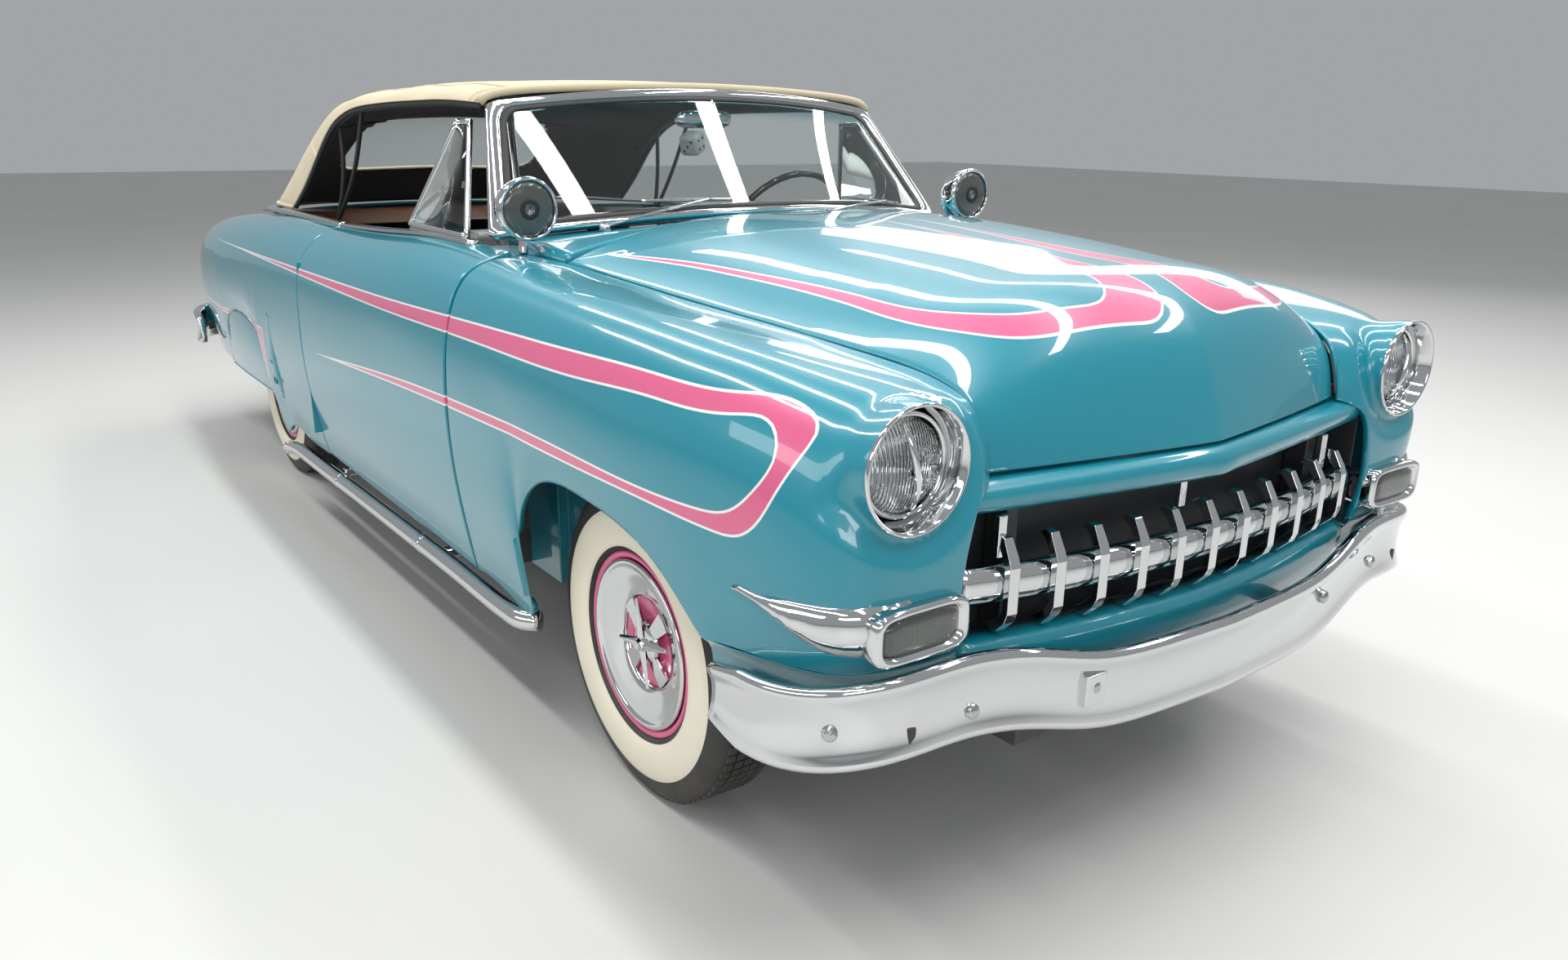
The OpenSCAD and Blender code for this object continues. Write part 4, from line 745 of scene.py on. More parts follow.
def paint_scallops(item, first, second=None, upright=True):
    mesh = item.data
    at = np.zeros(len(mesh.vertices) * 3, np.float32)
    mesh.vertices.foreach_get("co", at)
    at = at.reshape(-1, 3).astype(float)
    flat = np.stack([at[:, 0] - front_x, at[:, 2] if upright else np.abs(at[:, 1])], -1)
    for label, pair in (("first", first), ("second", second)):
        for part, outline in zip(("outer", "inner"), pair or ()):
            layer = mesh.attributes.new(f"{label}_{part}", "FLOAT", "POINT")
            layer.data.foreach_set("value", depth_in(flat, outline).astype(np.float32))


# %% [markdown]
# The front fender runs from the door to the nose. Its headlight sits in a round barrel: points near
# the lamp's axis are pulled onto a cylinder and the pull fades into the crown. The chrome rim hides
# the cut edge.

# %% Front fenders
lamp_y, lamp_z = 0.719, 0.893
barrel_r, barrel_x, barrel_focus = 0.104, front_x + 0.735, front_x + 0.600


def ease(t):
    t = np.clip(t, 0, 1)
    return t * t * (3 - 2 * t)


def with_barrel(grid):
    centre = np.array([barrel_focus, lamp_y, lamp_z])
    d = grid - centre
    far, across = np.linalg.norm(d, axis=-1), np.hypot(d[..., 1], d[..., 2])
    angle = np.arctan2(across, d[..., 0])
    rim_angle = math.atan2(barrel_r, barrel_x - barrel_focus)
    wall = barrel_r / np.maximum(np.sin(angle), 0.05)
    keep = np.maximum(ease((angle - rim_angle) / (math.radians(75) - rim_angle)),
                      ease((across - barrel_r) / 0.055))
    keep = np.where(d[..., 0] < -0.02, 1, keep)
    placed_at = centre + unit(d) * (wall + (far - wall) * keep)[..., None]
    hole = (angle < rim_angle) & (d[..., 0] > 0)
    turn = np.arctan2(d[..., 2], d[..., 1])
    rim = np.stack([np.full(turn.shape, barrel_x), lamp_y + barrel_r * np.cos(turn),
                    lamp_z + barrel_r * np.sin(turn)], -1)
    return np.where(hole[..., None], rim, placed_at), hole


fender_grid, hole = with_barrel(rolled(skin(placed(fender_net, front_x), 0.012), depth=0.014))
outside_lamp = ~hole.reshape(-1)
fender = sheet("fender", fender_grid, 0.0015, keep=lambda p: outside_lamp)
paint_scallops(fender, (side_outer, side_inner))
both_sides(dressed(fender, body_paint), "front_fender", "body", "body_paint", "front_fender_*")

# %% [markdown]
# A door is a closed shell: the outer skin with its folded edge, and an inner pressing drawn in at
# the back so that it swings clear. A padded trim panel covers the inside.

# %% Doors
door_in = [(95, 326), (125, 400), (130, 600), (140, 800), (165, 950)]
door_hinge_x, door_rear_x = front_x - 0.665, front_x - 1.927


def inner_path(x, proud=0.0):
    drawn = [(max(i - 16, 0) / 1000) ** 2 / 2.524 for i, _ in door_in]
    return [(min(max(x, door_rear_x + s), door_hinge_x - 0.004), half_width - i / 1000 - proud, z / 1000)
            for (i, z), s in zip(door_in, drawn)]


outer = rolled(skin(placed(door_net, front_x)[::-1], 0.016), radius=0.004, depth=0.014, sides="ft")
door = outwards(loft("door", [list(map(tuple, row)) + inner_path(row[-1][0]) for row in outer]))
paint_scallops(door, (side_outer, side_inner))
both_sides(dressed(door, body_paint), "door", "door_*", "body_paint", "door_*")

net = np.array([inner_path(x, 0.004 + 0.010 * bulge) for x, bulge in
                zip(np.linspace(door_rear_x + 0.05, door_hinge_x - 0.03, 9),
                    (0, .7, 1, 1, 1, 1, 1, .7, 0))])
trim = sheet("trim", rolled(skin(net[::-1], 0.02)[:, 4:-2], 0.003, 0.008), 0.002)
seams = [tube("seam", net[1:-1, k] + [0, -0.002, 0], 0.003, 8, 0.03) for k in (1, 2, 3)]
pull = tube("pull", [(0.35, .80, .80), (0.34, .775, .81), (0.25, .768, .80), (0.16, .775, .79),
                     (0.15, .80, .78)],
            0.009, 10)
crank = joined("crank", [lathe("boss", [(0.0, 0), (.022, 0), (.02, .012), (0, .016)], (-.02, .80, .70),
                               "y", 24, -1),
                         tube("arm", [(-.02, .785, .70), (-.06, .782, .68), (-.10, .775, .655)], 0.006, 8)])
both_sides(dressed(trim, grey_hide), "door_trim", "door_*", "seat_cover")
both_sides(dressed(joined("seams", seams + [pull]), white_hide), "door_trim_seams", "door_*", "seat_cover")
both_sides(dressed(crank, chrome), "window_crank", "door_*", "chrome")

# %% [markdown]
# The quarter panel carries the rear wheel opening. A skirt fills the opening down to a lipped hem,
# and a vertical scoop with three slots lies ahead of the wheel. The scoop is kept inside the body's
# widest line, so it is shallow where the panel is widest.

# %% Quarter panels, skirts and scoops
quarter_grid = rolled(skin(placed(quarter_net, rear_x)[::-1], 0.014), depth=0.014)
quarter = sheet("quarter", quarter_grid, 0.0015)
paint_scallops(quarter, (side_outer, side_inner), (rear_outer, rear_inner))
both_sides(dressed(quarter, body_paint), "quarter_panel", "body", "body_paint", "quarter_panel_*")

hem = 0.396
skirt_net = []
for i in range(4, 11):
    dx, inset, z = (v / 1000 for v in quarter_net[i][6])
    k = dx / 0.382
    skirt_net.append([(rear_x + dx * .989, half_width - inset - .001,
                       z - .0026 - (.002 if i in (4, 10) else 0)),
                      (rear_x + dx * .99, half_width - inset - .001, (z + hem) / 2),
                      (rear_x + dx * .985, half_width - .052 - .006 * k * k, hem)])
skirt_grid = rolled(skin(np.array(skirt_net)[::-1], 0.016), 0.003, 0.016)
lip = tube("lip", [p - [0, .002, -.003] for p in np.array(skirt_net)[:, 2]], 0.006, 8, 0.02)
skirt = joined("skirt", [sheet("skirt", skirt_grid, 0.0015), lip])
skirt_right = mirrored(skirt)
piece(dressed(joined("skirts", [skirt, skirt_right]), body_paint), "fender_skirt_pair", "body",
      "body_paint",
      "fender_skirts")

scoop_x, scoop_low, scoop_top = front_x - 2.375, 0.425, 0.745
side_limit, rib_radius = 0.9438, 0.0028


def side_y(x, z):
    """How far out the quarter panel stands at a place."""
    gap = (quarter_grid[..., 0] - x) ** 2 + (quarter_grid[..., 2] - z) ** 2
    return float(quarter_grid.reshape(-1, 3)[gap.argmin(), 1])


rows = []
for t in np.linspace(0, 1, 25):
    z = scoop_low + (scoop_top - scoop_low) * t
    full = min(1, math.sqrt(max(0.0, 1 - max(0, (t - 0.88) / 0.12) ** 2)) + 0.02) * min(1, 0.45 + t * 3)
    x_mid = scoop_x + 0.045 * (t - 0.5)
    y = side_y(x_mid, z)
    proud = min(0.011 * full, side_limit - y + 0.003)
    rows.append([(x_mid + 0.040 * full * math.cos(a), y - 0.003 + proud * math.sin(a), z)
                 for a in np.linspace(0, math.pi, 13)])
scoop = with_wall(mesh_from("scoop", np.array(rows), grid_faces(25, 13)), 0.001, 0)
ribs, slots = [], []
for n in range(3):
    z = scoop_low + 0.085 + 0.078 * n
    x = scoop_x - 0.004 + 0.045 * ((z - scoop_low) / (scoop_top - scoop_low) - 0.5)
    y = min(side_y(x, z) + 0.0062, side_limit - rib_radius)
    ring = [(x + 0.013 * math.copysign(abs(math.cos(a)) ** .45, math.cos(a)), y,
             z + 0.031 * math.copysign(abs(math.sin(a)) ** .45, math.sin(a)))
            for a in np.linspace(0, 2 * math.pi, 33)]
    ribs.append(tube("rib", ring, rib_radius, 8, 0.006, False))
    slots.append(bar("slot", (x - 0.0115, y - 0.004, z - 0.028), (x + 0.0115, y + 0.0008, z + 0.028),
                     0.0008))
both_sides(dressed(joined("scoop", [scoop] + ribs), body_paint), "quarter_scoop", "body", "body_paint")
# The slots are flat black inserts inside the rib frames: painted shade for their recesses.
both_sides(dressed(joined("slots", slots), seal_rubber), "scoop_slots", "body", "dark_trim")
jamb = [bar("jamb", (door_rear_x - .014, .70, .396), (door_rear_x - .006, .93, .95), .002),
        bar("jamb", (door_rear_x - .014, .80, .345), (door_rear_x - .006, .89, .40), .002)]
both_sides(dressed(joined("jambs", jamb), body_paint), "door_jamb", "body", "body_paint")

# %% [markdown]
# The hood follows a rule, so its grid is computed: each row is a power curve across. Near the nose
# the power drops towards one, which turns the round brow into a prow with a crease down its middle.

# %% Hood
hood_rows = np.array([(-522, -522, 1076, 1172), (-420, -420, 1069, 1176), (-220, -220, 1057, 1177),
                      (0, 0, 1044, 1168), (242, 242, 1031, 1151), (430, 440, 1015, 1136),
                      (540, 575, 999, 1118), (606, 655, 978, 1075), (648, 708, 946, 1008),
                      (672, 742, 896, 925), (684, 768, 844, 842)], float)
seam = np.array([row[0][:2] for row in fender_net], float)


def power_grid(rows, axle, edge, plan, rise, columns=97, step=11.0):
    knots = np.concatenate([[0], np.cumsum(np.hypot(np.diff(rows[:, 1]), np.diff(rows[:, 3])))])
    fine = smooth_through(knots, rows, stations(knots, step, 5))
    s = np.linspace(1, -1, columns)
    grid = []
    for x_side, x_mid, z_side, z_mid in fine:
        y = edge(x_side) * s
        grid.append(np.stack([axle * 1000 + x_mid + (x_side - x_mid) * np.abs(s) ** plan(x_mid), y,
                              z_mid - (z_mid - z_side) * np.abs(s) ** rise], -1) / 1000)
    return np.array(grid)


hood_grid = power_grid(hood_rows, front_x, lambda x: 943 - np.interp(x, seam[:, 0], seam[:, 1]) - 6,
                       lambda x: 2.4 - 1.25 * float(ease((x - 400) / 280)), 3)[:, ::-1]
hood = sheet("hood", rolled(hood_grid, 0.0035, 0.012), 0.0015)
paint_scallops(hood, (hood_outer, hood_inner), upright=False)
lugs = [tube("pin", [(front_x - .520, s * .04 - .02, 1.158), (front_x - .520, s * .04, 1.158),
                     (front_x - .520, s * .04 + .02, 1.158)], .004, 12) for s in (-1, 1)]
lugs += [bar("lug", (front_x - .524, s * .04 + t * .015 - .004, 1.154),
             (front_x - .494, s * .04 + t * .015 + .004, 1.168), .001) for s in (-1, 1) for t in (-1, 1)]
piece(dressed(joined("hood", [hood] + lugs), body_paint), "hood_skin", "hood", "body_paint", "hood")

# %% [markdown]
# Under the hood's front edge a rolled lip frames the grille opening, with a small beak in the
# middle, and a pan closes the nose below the bar. An apron under each headlight follows the
# fender's lower edge and turns in behind the bumper. The stays behind the bar are dark.

# %% Nose lip and pan
def lip_section(y):
    s = abs(y) / 0.52
    x = front_x + 0.786 - 0.064 * s ** 1.2
    beak = math.exp(-(y / 0.035) ** 2)
    outline = [(-.092, .836), (-.060, .836), (-.024, .835), (-.006, .829), (.001, .815 + .008 * s),
               (.002 + .006 * beak, .800 + .008 * s - .004 * beak), (-.002 + .004 * beak, .786 + .008 * s),
               (-.014, .776 + .008 * s), (-.032, .771 + .007 * s), (-.055, .769 + .005 * s), (-.092, .772)]
    return [(min(x + a, front_x + 0.788), y, z) for a, z in outline]


def pan_section(y):
    s = abs(y) / 0.59
    x = front_x + 0.770 - 0.050 * s * s
    up = .015 * s
    return [(x - .080, y, .430), (x - .045, y, .428), (x - .020, y, .436), (x - .008, y, .470),
            (x - .001, y, .515 + up),
            (x - .002, y, .532 + up), (x - .010, y, .542 + up), (x - .024, y, .546 + up),
            (x - .080, y, .540 + up)]


nose = [outwards(loft("lip", [lip_section(y) for y in np.linspace(-.60, .60, 81)])),
        outwards(loft("pan", [pan_section(y) for y in np.linspace(-.585, .585, 41)]))]
hem_line = [(400, 38, 545), (445, 44, 545), (560, 76, 548), (662, 122, 552), (706, 192, 556),
            (724, 335, 560)]
apron = skin(placed([hem_line, [(x - 6, y + 14, z - 14) for x, y, z in hem_line],
                     [(x - 16, y + 34, z - 34) for x, y, z in hem_line],
                     [(x - 22, y + 44, z - 70) for x, y, z in hem_line]],
                    front_x).transpose(1, 0, 2), .014)
for s in (1, -1):
    side_apron = sheet("apron", apron, .0015)
    nose.append(side_apron if s > 0 else mirrored(side_apron))
    if s < 0:
        bpy.data.objects.remove(side_apron)
nose = joined("nose", nose)
piece(dressed(nose, body_paint), "nose_lip_and_pan", "body", "body_paint", "nose_panel")
cavity = joined("cavity", [
    bar("wall", (front_x + .632, -.60, .43), (front_x + .638, .60, .83), .002),
    bar("floor", (front_x + .630, -.60, .545), (front_x + .700, .60, .551), .002)]
    + [bar("cheek", (front_x + .630, s * .600, .56), (front_x + .706, s * .606, .80), .002) for s in (-1,
            1)]
    + [bar("stay", (front_x + .640, s * .350, .425), (front_x + .700, s * .390, .540), .004) for s in (-1,
            1)]
    + [bar("stay", (front_x + .640, s * .440, .520), (front_x + .690, s * .470, .780), .004) for s in (-1,
            1)])
piece(dressed(cavity, dark_trim), "grille_cavity", "body", "dark_trim")

# %% [markdown]
# The cowl joins the hood to the windshield. Behind the doors the deck carries the folded edge of the
# top, and the trunk lid rolls down over the tail.

# %% Cowl
def cowl_section(y):
    s = abs(y) / 0.742
    back = front_x - .655 + .030 + (-.820 + .655 - .040) * s * s
    z_back, z_front = 1.157 - .0093 - .050 * s * s, 1.172 - .004 - .092 * s ** 2.2
    front = front_x - .536
    return [(front, y, z_front - .040), (front, y, z_front - .006), (front - .004, y, z_front - .001),
            (front - .012, y, z_front), ((front + back) / 2, y, (z_front + z_back) / 2 + .003),
            (back, y, z_back), (back - .060, y, z_back - .004), (back - .060, y, z_back - .042)]


corner_x, post_y = front_x - .820, 0.690
firewall_x = front_x - .500
cowl = [outwards(loft("cowl", [cowl_section(y) for y in np.linspace(-.676, .676, 61)])),
        bar("firewall", (firewall_x - .001, -.600, .362), (firewall_x + .012, .600, 1.085), .003)]
for s in (-1, 1):
    cowl += [bar("post", (door_hinge_x - .010, s * post_y, .300), (firewall_x, s * .740, 1.040), .004),
             bar("brace", (door_hinge_x - .010, s * .640, .980), (firewall_x, s * .740, 1.040), .004),
             bar("foot", (corner_x - .060, s * .664, 1.030), (door_hinge_x - .004, s * .745, 1.084), .006),
             bar("kick", (door_hinge_x - .012, s * .590, .362), (firewall_x, s * .691, .410), .003),
             bar("side", (firewall_x - .001, s * .599, .362), (firewall_x + .012, s * .720, 1.040), .003)]
    for z in (.640, .850):
        cowl.append(bar("hinge", (door_hinge_x - .007, s * .739, z),
                        (door_hinge_x + .007, s * .927, z + .024), .002))
    cowl.append(bar("eye", (front_x - .560, s * .04 - .007, 1.1515),
                    (front_x - .5135, s * .04 + .007, 1.1645), .003))
piece(dressed(joined("cowl", cowl), body_paint), "cowl_panel", "body", "body_paint", "cowl")

# %% Rear deck and trunk lid
deck_rows = [(-455, 1030, 1005), (-500, 1024, 1000), (-548, 1018, 996)]
lid_rows = [(-562, 1016, 994), (-700, 1000, 981), (-850, 974, 962), (-980, 940, 940), (-1080, 895, 905),
            (-1140, 840, 855), (-1172, 760, 780), (-1186, 690, 700), (-1190, 632, 636)]
tail_seam = np.array([row[0][:2] for row in quarter_net], float)[::-1]


def tail_edge(x):
    return 943 - np.interp(max(x, -1155), tail_seam[:, 0], tail_seam[:, 1]) - 6


def tail_grid(rows, step):
    rows = np.array([(x, x, z_side, z_mid) for x, z_mid, z_side in rows], float)
    return power_grid(rows, rear_x, tail_edge, lambda x: 2, 2, 81, step)


deck = sheet("deck", rolled(tail_grid(deck_rows, 16), 0.003, 0.012), 0.0015)
back = [bar("bulkhead", (rear_x - .510, -.688, .494), (rear_x - .498, .688, .940), .003),
        bar("bulkhead", (rear_x - .510, -.300, .930), (rear_x - .498, .300, 1.010), .003),
        bar("tail_panel", (rear_x - 1.184, -.632, .450), (rear_x - 1.172, .632, .620), .003),
        bar("tail_shelf", (rear_x - 1.173, -.632, .470), (rear_x - 1.120, .632, .482), .003)]
back += [bar("eye", (rear_x - .566, s * .04 - .007, .9955), (rear_x - .510, s * .04 + .007, 1.0025),
             .002) for s in (-1, 1)]
piece(dressed(joined("deck", [deck] + back), body_paint), "rear_deck_panel", "body", "body_paint",
      "rear_deck")
lid_grid = rolled(tail_grid(lid_rows, 14), 0.003, 0.014)
lid = sheet("lid", lid_grid, 0.0015)
pins = [tube("pin", [(rear_x - .564, s * .04 + t, 1.002) for t in (-.02, 0, .02)], .004, 12) for s in (-1,
        1)]
pins += [bar("lug", (rear_x - .590, s * .04 + t * .015 - .004, .998),
             (rear_x - .560, s * .04 + t * .015 + .004, 1.009), .001)
         for s in (-1, 1) for t in (-1, 1)]
piece(dressed(joined("lid", [lid] + pins), body_paint), "trunk_lid_skin", "trunk_lid", "body_paint",
      "trunk_lid")

# %% [markdown]
# ## Bright work
# The bumpers are one section swept along a bent path: a rolled top edge, a hollow face and a lower
# flange. Dark stays hold them from behind.

# %% Bumpers
front_path = [(445, 917, 84, 456), (600, 909, 76, 460), (705, 865, 55, 478), (760, 788, 35, 492),
              (788, 618, 12, 502), (808, 500, 9, 490), (829, 362, 7, 458), (845, 180, 4, 446),
              (852, 0, 0, 444)]
rear_path = [(-940, 915, 84, 452), (-1060, 905, 76, 455), (-1160, 858, 50, 462), (-1205, 753, 20, 470),
             (-1225, 560, 8, 474), (-1242, 280, 4, 474), (-1251, 0, 0, 474)]
bumper_section = [(-34, 40), (-33, 62), (-29, 69), (-22, 74), (-14, 76), (-6, 74), (-1, 68), (0, 61),
                  (-1.5, 54),
                  (-5, 46), (-9, 32), (-11, 14), (-11, -8), (-9, -28), (-5, -46), (-1, -58), (0, -64),
                  (-3, -70), (-9, -75), (-18, -78), (-27, -77), (-33, -72), (-34, -40)]


def bumper(name, path, axle, way):
    path = np.array(path, float)
    knots = np.concatenate([[0], np.cumsum(np.linalg.norm(np.diff(path[:, :2], axis=0), axis=1))])
    half = smooth_through(knots, path, np.linspace(0, knots[-1], 70))
    other = half[-2::-1] * [1, -1, -1, 1]
    rings = []
    for k, (x, y, turn, lift) in enumerate(np.concatenate([half, other])):
        a = math.radians(turn)
        shut = min(1.0, 0.72 + 0.28 * min(k, len(half) * 2 - 2 - k) / 5)
        rings.append([(axle + (x + way * math.cos(a) * q) / 1000, (y + math.sin(a) * q) / 1000,
                       (lift + up * shut) / 1000) for q, up in bumper_section])
    return outwards(loft(name, rings))


def bumper_face(path, axle, way, y, drop, out=0.0):
    """A place on a bumper's face and the way it faces."""
    path = np.array(path, float)
    x, turn, lift = (np.interp(-abs(y), -path[:, 1] / 1000, path[:, k]) for k in (0, 2, 3))
    a = math.radians(turn) * (1 if y > 0 else -1)
    facing = np.array([way * math.cos(a), math.sin(a), 0])
    return np.array([axle + x / 1000, y, lift / 1000 + drop]) + facing * out, facing


front_bar = bumper("front_bar", front_path, front_x, 1)
rear_bar = bumper("rear_bar", rear_path, rear_x, -1)
slots, tabs = [], []
# The jack slots are black boxes set at the bar's face, with no hole cut: painted shade for the openings.
for y in (-.740, .740):
    at, facing = bumper_face(front_path, front_x, 1, y, -.035, -.010)
    slots.append(bar("jack_slot", at - [.010, .008, .018], at + [.010, .008, .018], .003))
at, facing = bumper_face(front_path, front_x, 1, -.362, .004, -.006)
tabs.append(bar("tab", at - [.010, .026, .030], at + [.004, .026, .030], .003))
stays = []
for s in (-1, 1):
    stays += [bar("stay", (front_x + .640, s * .350, .365), (front_x + .700, s * .390, .425), .004),
              bar("stay", (front_x + .690, s * .350, .388), (front_x + .806, s * .390, .425), .004)]
piece(dressed(joined("front_bumper_bar", [front_bar] + tabs), chrome), "front_bumper_bar", "body", "chrome",
      "front_bumper")
piece(dressed(joined("stays", stays + slots), black_steel), "front_bumper_stays", "body", "chassis_black")
rear_stays = [bar("stay", (rear_x - 1.226, s * .350, .335), (rear_x - 1.130, s * .390, .430),
                  .004) for s in (-1, 1)]
piece(dressed(rear_bar, chrome), "rear_bumper_bar", "body", "chrome", "rear_bumper")
piece(dressed(joined("rear_stays", rear_stays), black_steel), "rear_bumper_stays", "body", "chassis_black")
plate_x = rear_x - 1.212
plate = [bar("plate", (plate_x - .004, -.160, .570), (plate_x, .160, .720), .0015)]
plate += [bar("leg", (plate_x - .004, s * .060, .530), (plate_x, s * .090, .600), .001) for s in (-1, 1)]
piece(dressed(joined("plate", plate), worn_chrome), "number_plate_holder", "body", "chrome")

# %% [markdown]
# Bolts, teeth, tread and stitches repeat, so each is grown by a small tree of geometry nodes on a
# carrier: a few points or a line. The result is turned into a plain mesh.

# %% Growing trees
def growing_tree(name, inputs):
    tree = bpy.data.node_groups.new(name, "GeometryNodeTree")
    kinds = {float: "NodeSocketFloat", int: "NodeSocketInt", str: "NodeSocketObject",
             tuple: "NodeSocketVector"}
    tree.interface.new_socket("Geometry", in_out="INPUT", socket_type="NodeSocketGeometry")
    for label, value in inputs.items():
        socket = tree.interface.new_socket(label, in_out="INPUT", socket_type=kinds[type(value)])
        if not isinstance(value, str):
            socket.default_value = value
    tree.interface.new_socket("Finish", in_out="INPUT", socket_type="NodeSocketMaterial")
    tree.interface.new_socket("Geometry", in_out="OUTPUT", socket_type="NodeSocketGeometry")
    return tree, tree.nodes.new("NodeGroupInput").outputs


def end_tree(tree, given, shape):
    real = add_node(tree, "GeometryNodeRealizeInstances", {0: shape})
    coat = add_node(tree, "GeometryNodeSetMaterial",
                    {"Geometry": real.outputs[0], "Material": given["Finish"]})
    result = tree.nodes.new("NodeGroupOutput")
    tied(tree, coat.outputs[0], result.inputs[0])


def grown(carrier, tree, coat, **values):
    """The carrier with the tree run on it, as a plain mesh."""
    grow = carrier.modifiers.new("grow", "NODES")
    grow.node_group = tree
    for item in tree.interface.items_tree:
        if item.in_out == "INPUT" and item.name in values:
            grow[item.identifier] = values[item.name]
        elif item.in_out == "INPUT" and item.name == "Finish":
            grow[item.identifier] = coat
    return baked(carrier)


def facing_points(name, places, facings):
    item = mesh_from(name, places, [], False)
    layer = item.data.attributes.new("facing", "FLOAT_VECTOR", "POINT")
    layer.data.foreach_set("vector", np.asarray(facings, np.float32).reshape(-1))
    return item


def line_carrier(name, *paths):
    points, edges = [], []
    for path in paths:
        start = len(points)
        points += [tuple(p) for p in path]
        edges += [(start + k, start + k + 1) for k in range(len(path) - 1)]
    mesh = bpy.data.meshes.new(name)
    mesh.from_pydata(points, edges, [])
    item = bpy.data.objects.new(name, mesh)
    bpy.context.scene.collection.objects.link(item)
    return item


bolt_tree, given = growing_tree("bolt_heads", {"Radius": 0.011, "Dome": 0.005})
head = add_node(bolt_tree, "GeometryNodeMeshUVSphere", {"Segments": 16, "Rings": 8, "Radius": 1.0})
facing = add_node(bolt_tree, "GeometryNodeInputNamedAttribute", {"Name": "facing"},
                  data_type="FLOAT_VECTOR")
turned = add_node(bolt_tree, "FunctionNodeAlignRotationToVector", {"Vector": facing.outputs[0]}, axis="Z")
size = add_node(bolt_tree, "ShaderNodeCombineXYZ",
                {0: given["Radius"], 1: given["Radius"], 2: given["Dome"]})
bolts = add_node(bolt_tree, "GeometryNodeInstanceOnPoints", {
    "Points": given["Geometry"], "Instance": head.outputs[0], "Rotation": turned.outputs[0],
    "Scale": size.outputs[0]})
end_tree(bolt_tree, given, bolts.outputs[0])

stitch_tree, given = growing_tree("stitch_row", {"Pitch": 0.006, "Length": 0.0042, "Radius": 0.0006})
line = add_node(stitch_tree, "GeometryNodeMeshToCurve", {0: given["Geometry"]})
spaced = add_node(stitch_tree, "GeometryNodeResampleCurve",
                  {"Curve": line.outputs[0], "Length": given["Pitch"]},
                  mode="LENGTH")
thread = add_node(stitch_tree, "GeometryNodeMeshCylinder", {"Vertices": 5, "Radius": given["Radius"],
                                                            "Depth": given["Length"]})
along = add_node(stitch_tree, "GeometryNodeInputTangent")
turned = add_node(stitch_tree, "FunctionNodeAlignRotationToVector", {"Vector": along.outputs[0]}, axis="Z")
row = add_node(stitch_tree, "GeometryNodeInstanceOnPoints", {
    "Points": spaced.outputs[0], "Instance": thread.outputs[0], "Rotation": turned.outputs[0]})
end_tree(stitch_tree, given, row.outputs[0])

tooth_tree, given = growing_tree("grille_teeth", {"Count": 11, "Shape": ""})
line = add_node(tooth_tree, "GeometryNodeMeshToCurve", {0: given["Geometry"]})
spaced = add_node(tooth_tree, "GeometryNodeResampleCurve",
                  {"Curve": line.outputs[0], "Count": given["Count"]},
                  mode="COUNT")
template = add_node(tooth_tree, "GeometryNodeObjectInfo", {"Object": given["Shape"]})
along = add_node(tooth_tree, "GeometryNodeInputTangent")
turned = add_node(tooth_tree, "FunctionNodeAlignRotationToVector", {"Vector": along.outputs[0]}, axis="Y",
                  pivot_axis="Z")
row = add_node(tooth_tree, "GeometryNodeInstanceOnPoints", {
    "Points": spaced.outputs[0], "Instance": template.outputs["Geometry"], "Rotation": turned.outputs[0]})
end_tree(tooth_tree, given, row.outputs[0])

tread_tree, given = growing_tree("tyre_tread",
                                 {"Radius": 0.34, "Blocks": 76, "Width": 0.024, "Height": 0.008,
                                                "Offset": 0.0, "Centre": (0.0, 0.0, 0.0)})
circle = add_node(tread_tree, "GeometryNodeMeshCircle",
                  {"Vertices": given["Blocks"], "Radius": given["Radius"]})
upright = add_node(tread_tree, "GeometryNodeTransform", {"Geometry": circle.outputs[0],
                                                         "Rotation": (math.pi / 2, 0, 0)})
out_from = add_node(tread_tree, "GeometryNodeInputPosition")
turned = add_node(tread_tree, "FunctionNodeAlignRotationToVector", {"Vector": out_from.outputs[0]},
                  axis="X",
                  pivot_axis="Y")
lengthwise = math_node(tread_tree, "DIVIDE", math_node(tread_tree, "MULTIPLY", given["Radius"], 5.1),
                       given["Blocks"])
block_size = add_node(tread_tree, "ShaderNodeCombineXYZ",
                      {0: given["Height"], 1: given["Width"], 2: lengthwise})
block = add_node(tread_tree, "GeometryNodeMeshCube", {"Size": block_size.outputs[0]})
ring = add_node(tread_tree, "GeometryNodeInstanceOnPoints", {
    "Points": upright.outputs[0], "Instance": block.outputs[0], "Rotation": turned.outputs[0]})
aside = add_node(tread_tree, "ShaderNodeCombineXYZ", {0: 0.0, 1: given["Offset"], 2: 0.0})
shift = add_node(tread_tree, "ShaderNodeVectorMath", {0: aside.outputs[0], 1: given["Centre"]},
                 operation="ADD")
moved = add_node(tread_tree, "GeometryNodeTransform", {"Geometry": ring.outputs[0],
                                                       "Translation": shift.outputs[0]})
end_tree(tread_tree, given, moved.outputs[0])

faces = [bumper_face(front_path, front_x, 1, y, dz, -.008) for y, dz in
         ((-.86, -.004), (-.618, -.025), (-.362, .008), (.362, .008), (.618, -.025), (.86, -.004))]
bolts = grown(facing_points("front_bolts", *zip(*faces)), bolt_tree, worn_chrome, Radius=.014, Dome=.009)
piece(bolts, "front_bumper_bolts", "body", "chrome")
faces = [bumper_face(rear_path, rear_x, -1, y, 0, -.008) for y in (-.80, -.45, .45, .80)]
bolts = grown(facing_points("rear_bolts", *zip(*faces)), bolt_tree, worn_chrome, Radius=.0115, Dome=.006)
piece(bolts, "rear_bumper_bolts", "body", "chrome")

# %% [markdown]
# The grille is a heavy curved bar with a row of hooked teeth. One tooth is drawn in profile, given a
# soft edge and repeated along the bar's own line.

# %% Grille
def grille_line(y):
    return front_x + .770 - y * y / 6.6, .643 + .050 * y * y


